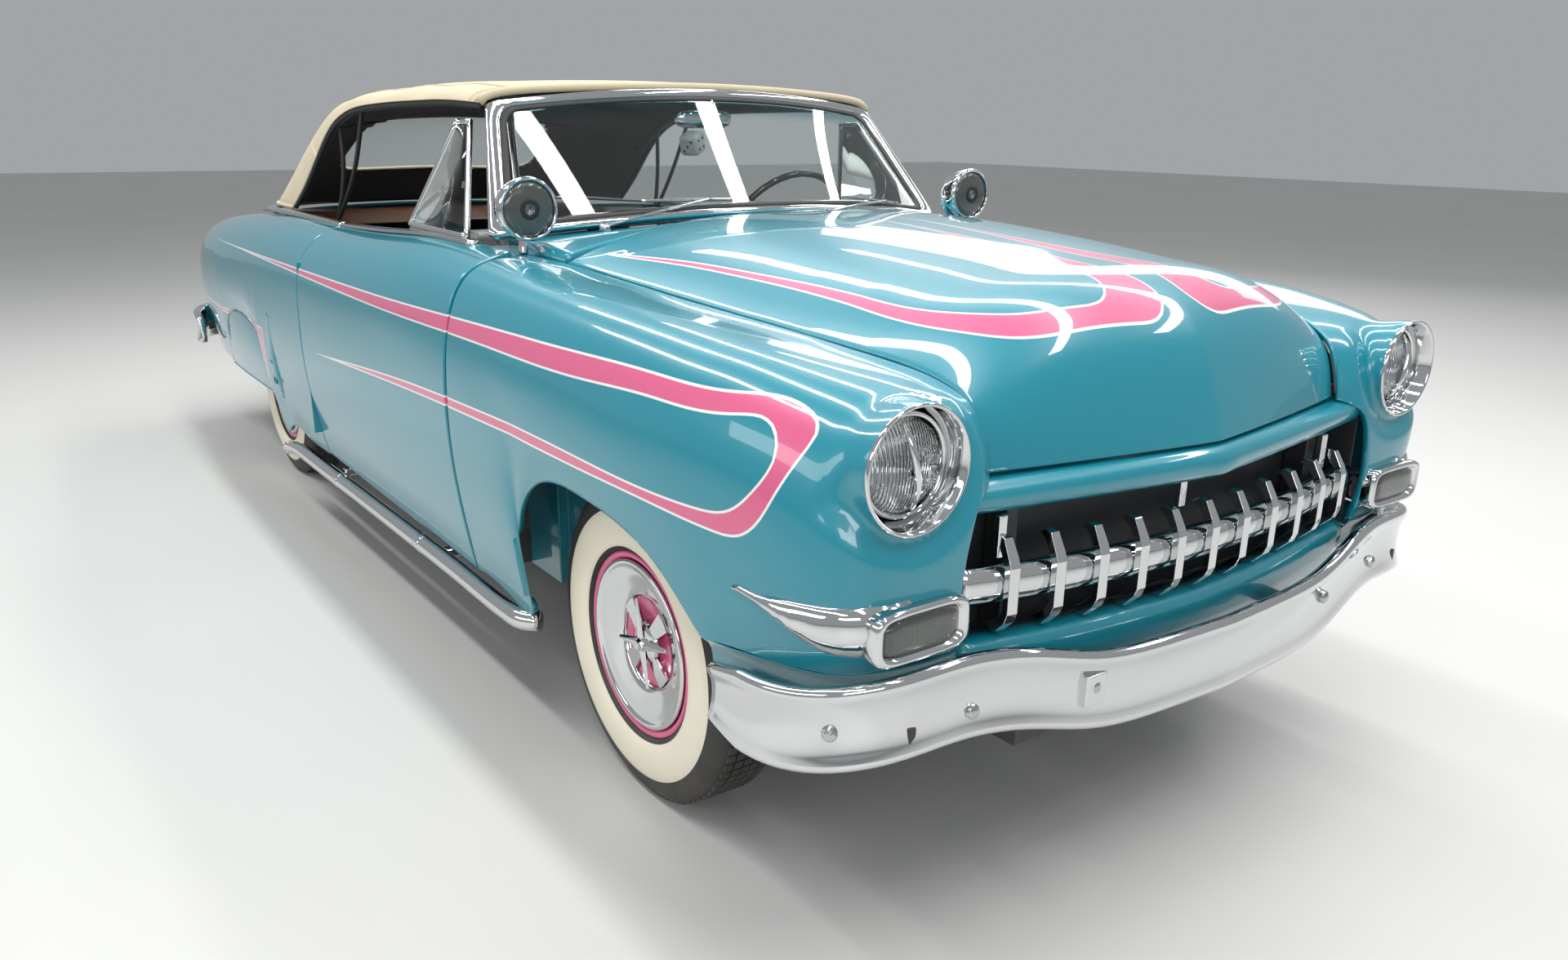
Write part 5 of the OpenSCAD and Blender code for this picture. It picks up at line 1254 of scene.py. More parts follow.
bar_section = [(-.044, -.026), (-.042, .020), (-.034, .031), (-.024, .035), (-.013, .033), (-.005, .025),
               (-.001, .012),
               (0, 0), (-.001, -.012), (-.005, -.025), (-.013, -.033), (-.024, -.036), (-.036, -.033)]
rings = []
for y in np.linspace(-.59, .59, 61):
    x, z = grille_line(y)
    rings.append([(x + a - y * b * 0, y, z + b) for a, b in bar_section])
grille_bar = outwards(loft("grille_bar", rings))
profile = [(-.040, .076), (-.026, .086), (-.008, .083), (.010, .052), (.016, .036), (.016, -.046),
           (.009, -.064),
           (-.014, -.088), (-.030, -.092), (-.044, -.080), (-.026, -.070), (-.004, -.050), (.000, -.040),
           (.000, .030), (-.006, .046), (-.022, .068)]
tooth_faces = [list(range(16))[::-1], [16 + k for k in range(16)]]
tooth_faces += [[k, (k + 1) % 16, 16 + (k + 1) % 16, 16 + k] for k in range(16)]
slim = [0.7, 0.75, 0.85, 1, 1, 1, 1, .8, .7, .7, .8, 1, 1, 1, 1, .85]
tooth = outwards(mesh_from("tooth", [(x, s * .0112 * w, z) for s in (-1, 1) for (x, z),
                                     w in zip(profile, slim)],
                           tooth_faces, False))
softened(tooth, .0022, 2, 40)
places = [(grille_line(y)[0], y, grille_line(y)[1]) for y in np.linspace(-.50, .50, 41)]
teeth = grown(line_carrier("teeth", places), tooth_tree, chrome, Count=11, Shape=tooth)
bpy.data.objects.remove(tooth)
hangers = [bar("hanger", (front_x + .700, y - .010, .700), (front_x + .712, y + .010, .775), .003)
           for y in (-.50, -.01, .47)]
grille = joined("grille", [dressed(grille_bar, chrome), teeth] + [dressed(h, chrome) for h in hangers])
piece(grille, "grille_bar_and_teeth", "body", "chrome", "grille")

# %% [markdown]
# Each lamp is a nest of turned rings: the rim that hides the fender's edge, a bright funnel, a black
# ring of painted shade inside the rim, and the domed lens with its upright bar.

# %% Headlights
lamp_centre = (0, lamp_y, lamp_z)
rim = lathe("rim", [(.1005, front_x + .722), (.1055, front_x + .733), (.1050, front_x + .7375),
                    (.1015, front_x + .7385),
                    (.0985, front_x + .735), (.0930, front_x + .712), (.0875, front_x + .700),
                    (.0870, front_x + .694),
                    (.0960, front_x + .700)], lamp_centre, "x", 96)
ring = lathe("ring", [(.0870, front_x + .690), (.0865, front_x + .699), (.0840, front_x + .704),
                      (.0800, front_x + .705),
                      (.0775, front_x + .700), (.0770, front_x + .690)], lamp_centre, "x", 96)
lens_line = [(.0005, .7235), (.020, .7228), (.040, .7195), (.058, .7130), (.070, .7050), (.0775, .6960)]
lens = lathe("lens", [(r, front_x + d) for r, d in lens_line]
             + [(r * .97, front_x + d - .004) for r, d in lens_line[::-1]], lamp_centre, "x", 72)
bowl_line = [(.0005, .640), (.025, .645), (.050, .662), (.068, .684), (.0765, .696)]
bowl = lathe("bowl", [(r, front_x + d) for r, d in bowl_line]
             + [(r + .001, front_x + d - .003) for r, d in bowl_line[::-1]], lamp_centre, "x", 64)
blade = tube("blade", [(front_x + d, lamp_y + .012 * math.sin(z * 20), lamp_z + z) for z, d in
                       ((-.070, .707), (-.045, .7215), (0, .729), (.045, .7215), (.070, .707))],
             [.0035, .006, .007, .006, .0035], 10, .006)
# A black ring inside the rim: painted shade for the dark gap between rim and funnel.
gasket = lathe("gasket", [(.0985, front_x + .690), (.0985, front_x + .698), (.0870, front_x + .6935),
                          (.0870, front_x + .688)],
               lamp_centre, "x", 64)
back_can = lathe("can", [(.0005, front_x + .615), (.05, front_x + .617), (.080, front_x + .65),
                         (.0865, front_x + .69),
                         (.0845, front_x + .69), (.078, front_x + .652), (.048, front_x + .621),
                         (.0005, front_x + .619)],
                 lamp_centre, "x", 48)
lamp = joined("lamp", [dressed(p, chrome) for p in (rim, ring, bowl, blade)]
              + [dressed(gasket, seal_rubber), dressed(back_can, black_steel)])
lamp_right, lens_right = mirrored(lamp), mirrored(lens)
piece(joined("headlight_bodies", [lamp, lamp_right]), "headlight_rims", "body", "chrome", "headlights")
piece(dressed(joined("lenses", [lens, lens_right]), lens_glass), "headlight_lenses", "body", "glass")

# %% [markdown]
# The parking lamp is a rounded pod with a smoked lens. Behind it a creased leaf of chrome wraps the
# corner: it is laid on the fender's own surface, level by level, and raised along its crease.

# %% Parking lamps
pod_y, pod_z = 0.712, 0.634


def squircle(x, half_y, half_z, count=48, power=.42):
    return [(x, pod_y + half_y * math.copysign(abs(math.cos(a)) ** power, math.cos(a)),
             pod_z + half_z * math.copysign(abs(math.sin(a)) ** power, math.sin(a)))
            for a in np.linspace(0, 2 * math.pi, count, endpoint=False)]


pod_rings = [squircle(front_x + d, a, b) for d, a, b in
             ((.690, .096, .043), (.735, .099, .046), (.752, .100, .047), (.759, .097, .045),
              (.761, .090, .040),
              (.757, .083, .034), (.744, .081, .032), (.742, .020, .010))]
pod = outwards(loft("pod", pod_rings))
glass_rings = [squircle(front_x + d, a, b) for d, a, b in
               ((.743, .0795, .0305), (.750, .0795, .0305), (.755, .076, .028), (.7575, .060, .020),
                (.758, .020, .006))]
smoked = outwards(loft("smoked", glass_rings))

plain_fender = skin(placed(fender_net, front_x), 0.012)


def fender_point(x, z):
    """Where the fender's skin stands at a distance along the car and a height, and its normal."""
    normal = normals_of(plain_fender)
    gap = (plain_fender[..., 0] - x) ** 2 + (plain_fender[..., 2] - z) ** 2
    gap = np.where(plain_fender[..., 1] > 0.5, gap, 9)
    near = np.argsort(gap.reshape(-1))[:6]
    share = 1 / (gap.reshape(-1)[near] + 1e-7)
    share /= share.sum()
    return share @ plain_fender.reshape(-1, 3)[near], unit(share @ normal.reshape(-1, 3)[near])


wing_rows = []
for t in np.linspace(0, 1, 22):
    x = front_x + .500 + .236 * t ** 0.85
    top = .672 + .014 * ease(t * 1.3)
    low = .664 - .074 * ease(t * 1.15)
    row = []
    for share, proud in ((0, .0005), (.18, .35), (.42, 1), (.62, .72), (.85, .40), (1, .0005)):
        z = top + (low - top) * share
        at, facing = fender_point(min(x, front_x + .735), z)
        row.append(at + facing * (.001 + .021 * proud * min(1, .25 + t * 1.5)))
    wing_rows.append(row)
wing = with_wall(mesh_from("wing", np.array(wing_rows), grid_faces(22, 6)), 0.004)
wing.data.shade_smooth()
lamp = joined("lamp", [dressed(pod, chrome), dressed(wing, chrome)])
lamp_right, smoked_right = mirrored(lamp), mirrored(smoked)
piece(joined("parking", [lamp, lamp_right]), "parking_lamp_chrome", "body", "chrome", "parking_lamps")
piece(dressed(joined("smoked_lenses", [smoked, smoked_right]), smoked_lens), "parking_lamp_lenses", "body",
      "glass")

# %% Tail lamps
tail_centre = (0, 0.728, 0.740)
tail_x = rear_x - 1.184
bezel = lathe("bezel", [(.060, tail_x - .002), (.0755, tail_x), (.0755, tail_x - .012),
                        (.071, tail_x - .018),
                        (.062, tail_x - .019), (.060, tail_x - .012)], tail_centre, "x", 64)
red = lathe("red", [(.0005, tail_x - .038), (.020, tail_x - .037), (.040, tail_x - .031),
                    (.055, tail_x - .022),
                    (.0615, tail_x - .012), (.0615, tail_x - .002), (.0005, tail_x - .002)], tail_centre,
                    "x", 64)
bezels = joined("bezels", [bezel, mirrored(bezel)])
piece(dressed(bezels, chrome), "tail_lamp_bezels", "body", "chrome", "tail_lamps")
piece(dressed(joined("reds", [red, mirrored(red)]), red_lens), "tail_lamp_lenses", "body", "red_lens")

# %% [markdown]
# ## Wheels
# Tyres and wheels are turned on a lathe. The tread is three rings of blocks. The cap has a wide dish,
# a sunken centre with painted windows and a four-bar spinner with a faceted bullet.

# %% Tyres
tyre_r = 0.345
tyre_line = [(.2012, .060), (.2012, .066), (.2055, .071), (.212, .074), (.2135, .0775), (.222, .0815),
             (.240, .0845),
             (.262, .0850), (.280, .0835), (.2895, .0805), (.2915, .0795), (.300, .0785), (.318, .0735),
             (.331, .066),
             (.3385, .057), (.3385, .0), (.3385, -.057), (.331, -.066), (.318, -.0735), (.300, -.0785),
             (.280, -.0835), (.262, -.0850), (.240, -.0845), (.222, -.0815), (.2055, -.071), (.2012, -.066),
             (.2012, -.060), (.2012, 0)]


def tyre(centre, side):
    body = lathe("tyre", tyre_line, centre, "y", 128, side)
    body.data.materials.append(tread_rubber)
    body.data.materials.append(whitewall)
    for face in body.data.polygons:
        out = (face.center[1] - centre[1]) * side
        r = math.hypot(face.center[0] - centre[0], face.center[2] - centre[2])
        face.material_index = int(out > 0.03 and .2125 < r < .2905)
    rows = [body]
    for offset, width in ((-.046, .018), (-.023, .019), (0, .020), (.023, .019), (.046, .018)):
        rows.append(grown(line_carrier("tread", [centre, (centre[0], centre[1] + .01, centre[2])]),
                          tread_tree,
                          tread_rubber, Radius=tyre_r - .0045, Blocks=84, Width=width, Height=.009,
                          Offset=offset,
                          Centre=tuple(centre)))
    return joined("tyre", rows)


def spinner_bar(name, turn, reach, wide, thick, out):
    c, s = math.cos(turn), math.sin(turn)
    rings = []
    for t in np.linspace(0, 1, 6):
        r, w, h = .012 + (reach - .012) * t, wide * (1 - .62 * t), thick * (1 - .5 * t)
        rings.append([(c * r - s * a * w, out - .002 * t + b * h, s * r + c * a * w)
                      for a, b in ((-1, 0), (-.35, .8), (0, 1), (.35, .8), (1, 0), (0, -.6))])
    return outwards(loft(name, rings))


def wheel(centre, side):
    steel = lathe("steel", [(.0202, -.020), (.060, -.020), (.060, .010), (.161, .028), (.161, -.055),
                            (.181, -.066),
                            (.201, -.066), (.201, -.060), (.179, -.050), (.171, .030), (.187, .058),
                            (.1985, .060),
                            (.201, .062), (.201, .067), (.197, .0695), (.190, .068), (.184, .061),
                            (.163, .040),
                            (.062, .024), (.0202, .024)], centre, "y", 96, side)
    cap = lathe("cap", [(.100, .030), (.162, .044), (.179, .062), (.184, .0665), (.1835, .070),
                        (.180, .0725),
                        (.175, .0725), (.171, .069), (.167, .0665), (.160, .066), (.140, .060),
                        (.120, .054),
                        (.106, .050), (.101, .046), (.099, .036)], centre, "y", 96, side)
    pan = lathe("pan", [(.0005, .033), (.098, .033), (.099, .036), (.100, .040), (.092, .040),
                        (.0005, .040)],
                centre, "y", 64, side)
    spokes = []
    for n in range(4):
        turn = math.pi / 4 + n * math.pi / 2
        ring = [(.100 * math.cos(turn + a), .043, .100 * math.sin(turn + a)) for a in (-.22, 0, .22)]
        ring += [(.040 * math.cos(turn + a), .046, .040 * math.sin(turn + a)) for a in (.35, 0, -.35)]
        spokes.append(outwards(loft("web", [[(x, y + d, z) for x, y, z in ring] for d in (0, .006)])))
    hub = lathe("hub", [(.0005, .040), (.044, .040), (.046, .046), (.043, .052), (.034, .056),
                        (.024, .058), (.0005, .058)],
                (0, 0, 0), "y", 48)
    bullet = lathe("bullet", [(.0005, .050), (.019, .052), (.019, .060), (.011, .074), (.0005, .0775)],
                   (0, 0, 0), "y", 8)
    bars = [spinner_bar("spinner", n * math.pi / 2 + .2, .098, .013, .007, .060) for n in range(4)]
    fittings = joined("fittings", spokes + [hub, bullet] + bars)
    mesh = fittings.data
    at = np.zeros(len(mesh.vertices) * 3, np.float32)
    mesh.vertices.foreach_get("co", at)
    at = at.reshape(-1, 3) * [1, side, 1] + np.asarray(centre)
    mesh.vertices.foreach_set("co", at.astype(np.float32).reshape(-1))
    if side < 0:
        mesh.flip_normals()
    mesh.shade_smooth()
    mesh.set_sharp_from_angle(angle=math.radians(28))
    return joined("wheel", [dressed(steel, pink_enamel), dressed(pan, pink_enamel), dressed(cap, chrome),
                            dressed(fittings, chrome)])


for end, axle, track in (("front", front_x, 1.473), ("rear", rear_x, 1.422)):
    for side, s in (("left", 1), ("right", -1)):
        centre = (axle, s * track / 2, tyre_r)
        body = f"wheel_{end}_{side}"
        piece(tyre(centre, s), f"tyre_with_tread_{end}_{side}", body, "tyre", f"tyre_{end}_{side}")
        piece(wheel(centre, s), f"wheel_and_cap_{end}_{side}", body, "wheel_paint", body)

# %% [markdown]
# Chrome pipes run under the sills. Each is a smooth tube with two clamp bands and a capped front end.

# %% Side pipes
route = [(-348, -32, 4), (-374, -10, 2), (-430, 0, 0), (-700, 0, -2), (-1060, 0, -6), (-1660, 0, -16),
         (-2090, 0, -24),
         (-2330, 0, -36), (-2430, 0, -56)]
route = [(front_x + x / 1000, .901 + y / 1000, .284 + z / 1000) for x, y, z in route]
line = curve_through(route, .012)
parts = [tube("pipe", route, .0245, 24, .012)]


def along_pipe(dx):
    return line[np.abs(line[:, 0] - (front_x + dx)).argmin()]


for dx in (-1.02, -1.78):
    at = along_pipe(dx)
    parts.append(tube("band", [at + [-.014, 0, 0], at, at + [.014, 0, 0]], .0252, 24, .004))
at = along_pipe(-2.41)
parts.append(tube("flange", [along_pipe(-2.395), at, along_pipe(-2.428)], .0252, 24, .004))
for x in (-.900, -1.800):
    parts.append(bar("bracket", (front_x + x - .015, .773, .276), (front_x + x + .015, .885, .300), .003))
pipe = joined("pipe", parts)
piece(dressed(joined("pipes", [pipe, mirrored(pipe)]), chrome), "side_pipe_pair", "body", "chrome",
      "side_pipes")

# %% [markdown]
# ## Glass and folding top
# The windshield leans back and bows. Its frame is one closed section swept round the opening, with a
# rubber seal inside it, and the glass carries a tinted band along the top.

# %% Windshield
def shield(u, v):
    base = np.array([front_x - .655 - .165 * u * u, .742 * u, 1.157 - .050 * u * u])
    top = np.array([front_x - .985 - .071 * u * u, .634 * u, 1.468 - .043 * u * u])
    return base + (top - base) * v


def round_loop(inset_u, inset_v, corner, count=22):
    """Points of the opening's outline as (u, v), with round corners."""
    loop = []
    for cu, cv, start in ((1, 1, 0), (-1, 1, 90), (-1, 0, 180), (1, 0, 270)):
        mid_u = cu * (1 - inset_u - corner * .46)
        mid_v = cv * (1 - 2 * (inset_v + corner)) + inset_v + corner
        for a in np.radians(np.linspace(start, start + 90, 7)):
            loop.append((mid_u + corner * .46 * math.cos(a), mid_v + corner * math.sin(a)))
    loop = np.array(loop)
    closed = np.concatenate([loop, loop[:1]])
    far = np.concatenate([[0], np.cumsum(np.linalg.norm(np.diff(closed, axis=0) * [.7, .33], axis=1))])
    at = np.linspace(0, far[-1], count * 8, endpoint=False)
    return np.stack([np.interp(at, far, closed[:, k]) for k in (0, 1)], -1)


def swept_ring(name, outer, inner, thick, shape):
    rings = []
    for (u0, v0), (u1, v1) in zip(outer, inner):
        a, b = shield(u0, v0), shield(u1, v1)
        normal = unit(np.cross(shield(u0, v0 + .01) - a, shield(u0 - .01, v0) - a))
        rings.append([a + (b - a) * e + normal * thick * t for e, t in shape])
    return outwards(loft(name, rings, wrap=True))


frame_shape = [(0, -.5), (0, .6), (.10, .92), (.30, 1), (.62, .80), (.86, .55), (1, .1), (1, -.5),
               (.8, -1), (.2, -1)]
ring = swept_ring("frame_ring", round_loop(0, 0, .03), round_loop(.058, .052, .10), .014, frame_shape)
seal = swept_ring("seal", round_loop(.052, .046, .10), round_loop(.080, .085, .11), .0055,
                  [(0, -1), (0, 1), (.7, 1), (1, .5), (1, -.5), (.7, -1)])
piece(dressed(ring, chrome), "windshield_frame_ring", "body", "chrome", "windshield_frame")
piece(dressed(seal, seal_rubber), "windshield_seal", "body", "dark_trim")
us, vs = np.linspace(.935, -.935, 41), np.linspace(.058, .942, 25)
pane = with_wall(mesh_from("pane", [[shield(u, v) for u in us] for v in vs], grid_faces(25, 41)), .005, 0)
band = pane.data.attributes.new("shade_band", "FLOAT", "POINT")
heights = np.array([v.co.z for v in pane.data.vertices])
wide = np.array([abs(v.co.y) for v in pane.data.vertices])
band.data.foreach_set("value", ease((heights + .09 * wide ** 2 - 1.395) / .035).astype(np.float32))

wipers = []
for u0, u1, v1 in ((-.66, -.16, .10), (.22, .72, .075)):
    hub, tip, heel = shield(u0, -.01), shield(u1, v1), shield(u1 - .34, v1 + .035)
    lift = np.array([.018, 0, .010])
    wipers += [tube("arm", [hub + [.03, 0, .004], hub * .6 + tip * .4 + lift * 1.5,
                            tip * .75 + heel * .25 + lift], .0035, 8),
               tube("blade", [heel + lift * .7, (heel + tip) / 2 + lift * .8, tip + lift * .7], .0045, 6),
               lathe("pivot", [(.0005, 0), (.016, .002), (.012, .016), (.0005, .020)],
                     hub + [.035, 0, -.006], "z", 24)]
piece(dressed(joined("wipers", wipers), worn_chrome), "wipers", "body", "chrome")
mirror_at = shield(0, .80) - [.085, 0, .012]
mirror = outwards(loft("mirror",
                       [[(mirror_at[0] + d, mirror_at[1] + .095 * w * math.copysign(abs(math.cos(a)) ** .5,
                               math.cos(a)),
                                    mirror_at[2] + .026 * w * math.copysign(abs(math.sin(a)) ** .6,
                                            math.sin(a)))
                                   for a in np.linspace(0, 2 * math.pi, 32, endpoint=False)]
                                  for d, w in ((-.004, .97), (0, 1), (.012, .9), (.018, .6), (.020, .1))]))
arm = tube("arm", [mirror_at + [.015, 0, .01], mirror_at + [.05, 0, .045], shield(0, .95) - [.012, 0, 0]],
           .005, 10)
piece(dressed(joined("mirror", [mirror, arm]), chrome), "inner_mirror", "body", "chrome")

# %% [markdown]
# A furry die hangs from the mirror by a small hook. The long string it had is left out.

# %% Hanging die
die_at = mirror_at + [.012, -.045, -.066]
cube = bmesh.new()
bmesh.ops.create_cube(cube, size=.058, matrix=Matrix.Translation(die_at) @ Matrix.Rotation(.5, 4, "Z")
                      @ Matrix.Rotation(.35, 4, "X"))
mesh = bpy.data.meshes.new("die")
cube.to_mesh(mesh)
die = bpy.data.objects.new("die", mesh)
bpy.context.scene.collection.objects.link(die)
softened(die, .012, 5)
hook = tube("hook", [mirror_at + [.012, -.045, -.022], mirror_at + [.016, -.045, -.030],
                     die_at + [0, 0, .028]], .0012, 6, .004)
turned = Matrix.Rotation(.5, 3, "Z") @ Matrix.Rotation(.35, 3, "X")
dots, ways = [], []
for axis, spots in ((Vector((1, 0, 0)), ((-.012, -.012), (.012, .012), (-.012, .012), (.012, -.012))),
                    (Vector((0, -1, 0)), ((-.013, -.013), (0, 0), (.013, .013)))):
    side = Vector((0, 1, 0)) if axis.x else Vector((1, 0, 0))
    for a, b in spots:
        dots.append(Vector(die_at) + turned @ (axis * .0285 + side * a + Vector((0, 0, 1)) * b))
        ways.append(turned @ axis)
pips = grown(facing_points("pips", dots, ways), bolt_tree, seal_rubber, Radius=.0045, Dome=.0015)
piece(joined("die", [dressed(die, die_plush), dressed(hook, chrome), pips]), "hanging_die", "body",
      "canvas")

# %% [markdown]
# The top is one stretched sheet of canvas over its bows. Rows run from the header to the rear hem.
# The rear window is cut out of the same grid, and its glass, binding and the dark lining follow it.

# %% Canvas top
canvas_net = [
    [(-1052, 648, 1429), (-1048, 614, 1451), (-1030, 462, 1468), (-1008, 242, 1478), (-1000, 0, 1482)],
    [(-1300, 656, 1438), (-1300, 622, 1466), (-1300, 480, 1487), (-1300, 250, 1498), (-1300, 0, 1502)],
    [(-1700, 660, 1434), (-1700, 626, 1464), (-1700, 480, 1491), (-1700, 250, 1503), (-1700, 0, 1507)],
    [(-2090, 662, 1416), (-2100, 628, 1452), (-2100, 480, 1481), (-2100, 250, 1495), (-2100, 0, 1499)],
    [(-2330, 668, 1360), (-2400, 628, 1415), (-2440, 480, 1450), (-2455, 250, 1465), (-2460, 0, 1470)],
    [(-2500, 680, 1255), (-2660, 644, 1310), (-2760, 500, 1360), (-2800, 270, 1390), (-2810, 0, 1400)],
    [(-2640, 694, 1150), (-2870, 668, 1180), (-3030, 540, 1215), (-3105, 300, 1240), (-3125, 0, 1250)],
    [(-2790, 708, 1058), (-3080, 690, 1052), (-3300, 590, 1046), (-3410, 330, 1043), (-3440, 0, 1042)]]
half = np.array(canvas_net, float) / 1000 + [front_x, 0, 0]
whole = np.concatenate([half, half[:, -2::-1] * [1, -1, 1]], axis=1)
row_knots, col_knots = knots_along(whole), knots_along(whole.transpose(1, 0, 2))


def canvas(rows, cols, drop=0.0):
    """Canvas points at net rows and columns, moved inwards by drop; bows lift the cloth slightly."""
    across = smooth_through(col_knots, whole.transpose(1, 0, 2), np.interp(cols, np.arange(9), col_knots))
    grid = smooth_through(row_knots, across.transpose(1, 0, 2), np.interp(rows, np.arange(8), row_knots))
    sag = .0035 * (1 - np.cos(2 * np.pi * np.clip(rows, 1, 4)))[:,
                                                                None] * np.sin(np.pi * cols / 8)[None] ** .5
    return grid - normals_of(grid) * (drop + sag)[..., None]


window_rows, window_cols = (5.0, 6.33), (2.5, 5.5)
rows_at = np.sort(np.concatenate([np.linspace(0, 7, 120), window_rows]))
cols_at = np.sort(np.concatenate([np.linspace(0, 8, 90), window_cols]))


def with_window(name, drop, thickness):
    grid = canvas(rows_at, cols_at, drop)
    faces = grid_faces(*grid.shape[:2])
    r, c = np.meshgrid((rows_at[1:] + rows_at[:-1]) / 2, (cols_at[1:] + cols_at[:-1]) / 2, indexing="ij")
    a, b = (2 * r - sum(window_rows)) / np.ptp(window_rows), (2 * c - sum(window_cols)) / np.ptp(window_cols)
    return with_wall(mesh_from(name, grid, faces[~((np.abs(a) ** 6 + np.abs(b) ** 6) < 1).reshape(-1)]),
                     thickness)


cloth = with_window("cloth", 0.0, 0.0025)
lining = with_window("lining", 0.009, 0.0015)
piece(dressed(cloth, top_canvas), "canvas_top", "body", "canvas", "soft_top")
piece(dressed(lining, top_lining), "top_lining", "body", "canvas")


def arcs(grid):
    across = np.linalg.norm(np.diff(grid, axis=1), axis=2).sum(1).max()
    along = np.linalg.norm(np.diff(grid, axis=0), axis=2).sum(0).max()
    return float(round(across, 3)), float(round(along, 3))


cloth_flat, lining_flat = arcs(canvas(rows_at, cols_at, 0.0)), arcs(canvas(rows_at, cols_at, 0.009))
print("flat sizes of canvas and lining, width and length in metres:", cloth_flat, lining_flat)
turn = np.linspace(0, 2 * np.pi, 97)
ring_r = sum(window_rows) / 2 + np.ptp(window_rows) / 2 * np.sign(np.sin(turn)) * np.abs(np.sin(turn)) ** .34
ring_c = sum(window_cols) / 2 + np.ptp(window_cols) / 2 * np.sign(np.cos(turn)) * np.abs(np.cos(turn)) ** .34


def on_canvas(r, c, drop=0.0):
    return np.array([canvas(np.array([a, a + .01]), np.array([b, b + .01]), drop)[0, 0] for a,
                     b in zip(r, c)])


binding = tube("binding", on_canvas(ring_r, ring_c, -.001), .006, 8, .012, False)
cols = np.linspace(.02, 7.98, 60)
rolls = [tube("roll", on_canvas(np.full(60, r), cols, d), radius, 10, .02) for r, d, radius in
         ((.02, .001, .011), (.12, .000, .006))]
hem_rows, seam_c = np.full(60, 6.97), (1.55, 6.45)
rolls.append(tube("hem", on_canvas(hem_rows, cols, .001), .008, 8, .02))
piece(dressed(joined("rolls", [binding] + rolls), top_canvas), "canvas_bindings", "body", "canvas")
paths = [on_canvas(np.full(60, r), cols, -.0016) for r in (.24, .30, 6.80)]
paths += [on_canvas(np.linspace(.05, 6.9, 60), np.full(60, c), -.0012) for c in (seam_c[0],
        seam_c[0] + .06, seam_c[1], seam_c[1] - .06)]
paths.append(on_canvas(sum(window_rows) / 2 + (ring_r - sum(window_rows) / 2) * 1.06,
                       sum(window_cols) / 2 + (ring_c - sum(window_cols) / 2) * 1.05, -.0012))
stitches = grown(line_carrier("stitches", *paths), stitch_tree, top_canvas, Pitch=.009, Length=.006,
                 Radius=.0009)
piece(stitches, "canvas_stitches", "body", "canvas")
strips = [tube("strip", on_canvas(np.linspace(.05, 6.9, 60), np.full(60, c), .010) + [0, 0, -.004], .008,
               8, .02)
          for c in (.03, 7.97)]
piece(dressed(joined("strips", strips), seal_rubber), "top_weatherstrip", "body", "dark_trim")
glass_r, glass_c = np.linspace(4.85, 6.5, 24), np.linspace(2.35, 5.65, 40)
rear_pane = with_wall(mesh_from("rear_pane", canvas(glass_r, glass_c, .006), grid_faces(24, 40)), .003, 0)
rear_pane.data.attributes.new("shade_band", "FLOAT", "POINT")
piece(dressed(joined("glass", [pane, rear_pane]), window_glass), "windshield_and_rear_window", "body",
      "glass",
      "fixed_glass")

irons = []
for c in (.12, 7.88):
    irons.append(tube("rail", on_canvas(np.linspace(.35, 6.7, 40), np.full(40, c), .026), .009, 10, .02))
for r in (1.67, 3.0, 4.0):
    irons.append(tube("bow", on_canvas(np.full(40, r), np.linspace(.12, 7.88, 40), .023), .009, 10, .02))
for s, c in ((1, .3), (-1, 7.7)):
    low = np.array([front_x - 2.42, s * .655, 1.02])
    for r in (3.0, 4.0):
        irons.append(tube("link", [on_canvas([r], [c], .03)[0],
                                   (on_canvas([r], [c], .05)[0] + low) / 2 + [.03, 0, 0], low],
                          .008, 8, .02))
piece(dressed(joined("irons", irons), black_steel), "top_irons", "body", "top_irons", "top_frame")

# %% [markdown]
# A broad bright moulding runs from the pillar along the door and round the back of the top.

# %% Belt moulding
def moulding(name, path, wide, high):
    path = curve_through(path, .02)
    along = unit(np.gradient(path, axis=0))
    side = unit(np.cross(along, [0, 0, 1.0]))
    shape = [(-1, -.5), (-1, .3), (-.7, .8), (0, 1), (.7, .7), (1, .1), (1, -.5)]
    return outwards(loft(name, [[p + s * wide * a + np.array([0, 0, high * b]) for a, b in shape]
                                for p, s in zip(path, side)]))


door_top = moulding("door_top", [(front_x + x, half_width - .176, z) for x, z in
                                 ((-.85, 1.0945), (-1.06, 1.0955), (-1.49, 1.077), (-1.922, 1.060))], .019,
                                 .008)
both_sides(dressed(door_top, worn_chrome), "door_belt_moulding", "door_*", "chrome")
back_path = [(front_x - 1.940, .766, 1.058), (front_x - 2.22, .762, 1.057), (front_x - 2.50, .758, 1.053),
             (front_x - 2.80, .742, 1.045), (front_x - 3.09, .712, 1.036), (front_x - 3.27, .640, 1.032),
             (front_x - 3.37, .50, 1.034), (front_x - 3.43, .30, 1.034), (front_x - 3.455, 0, 1.036)]
back_path += [(x, -y, z) for x, y, z in back_path[-2::-1]]
piece(dressed(moulding("back", back_path, .018, .010), worn_chrome), "belt_moulding", "body", "chrome")

# %% [markdown]
# The small vent window in front of each door glass has a chrome frame with an upright division bar.

# %% Vent windows
def vent_at(dx, up, proud=0.0):
    lean = math.radians(21)
    return (front_x - .905 + dx, half_width - .172 - .008 * math.cos(lean) - math.sin(lean) * up + proud,
            1.104 + math.cos(lean) * up - .008 * math.sin(lean))


def vent_bar(a, b, radius):
    a, b = np.array(vent_at(*a)), np.array(vent_at(*b))
    return tube("vent_bar", [a, (a + b) / 2, b], radius, 10, .03)


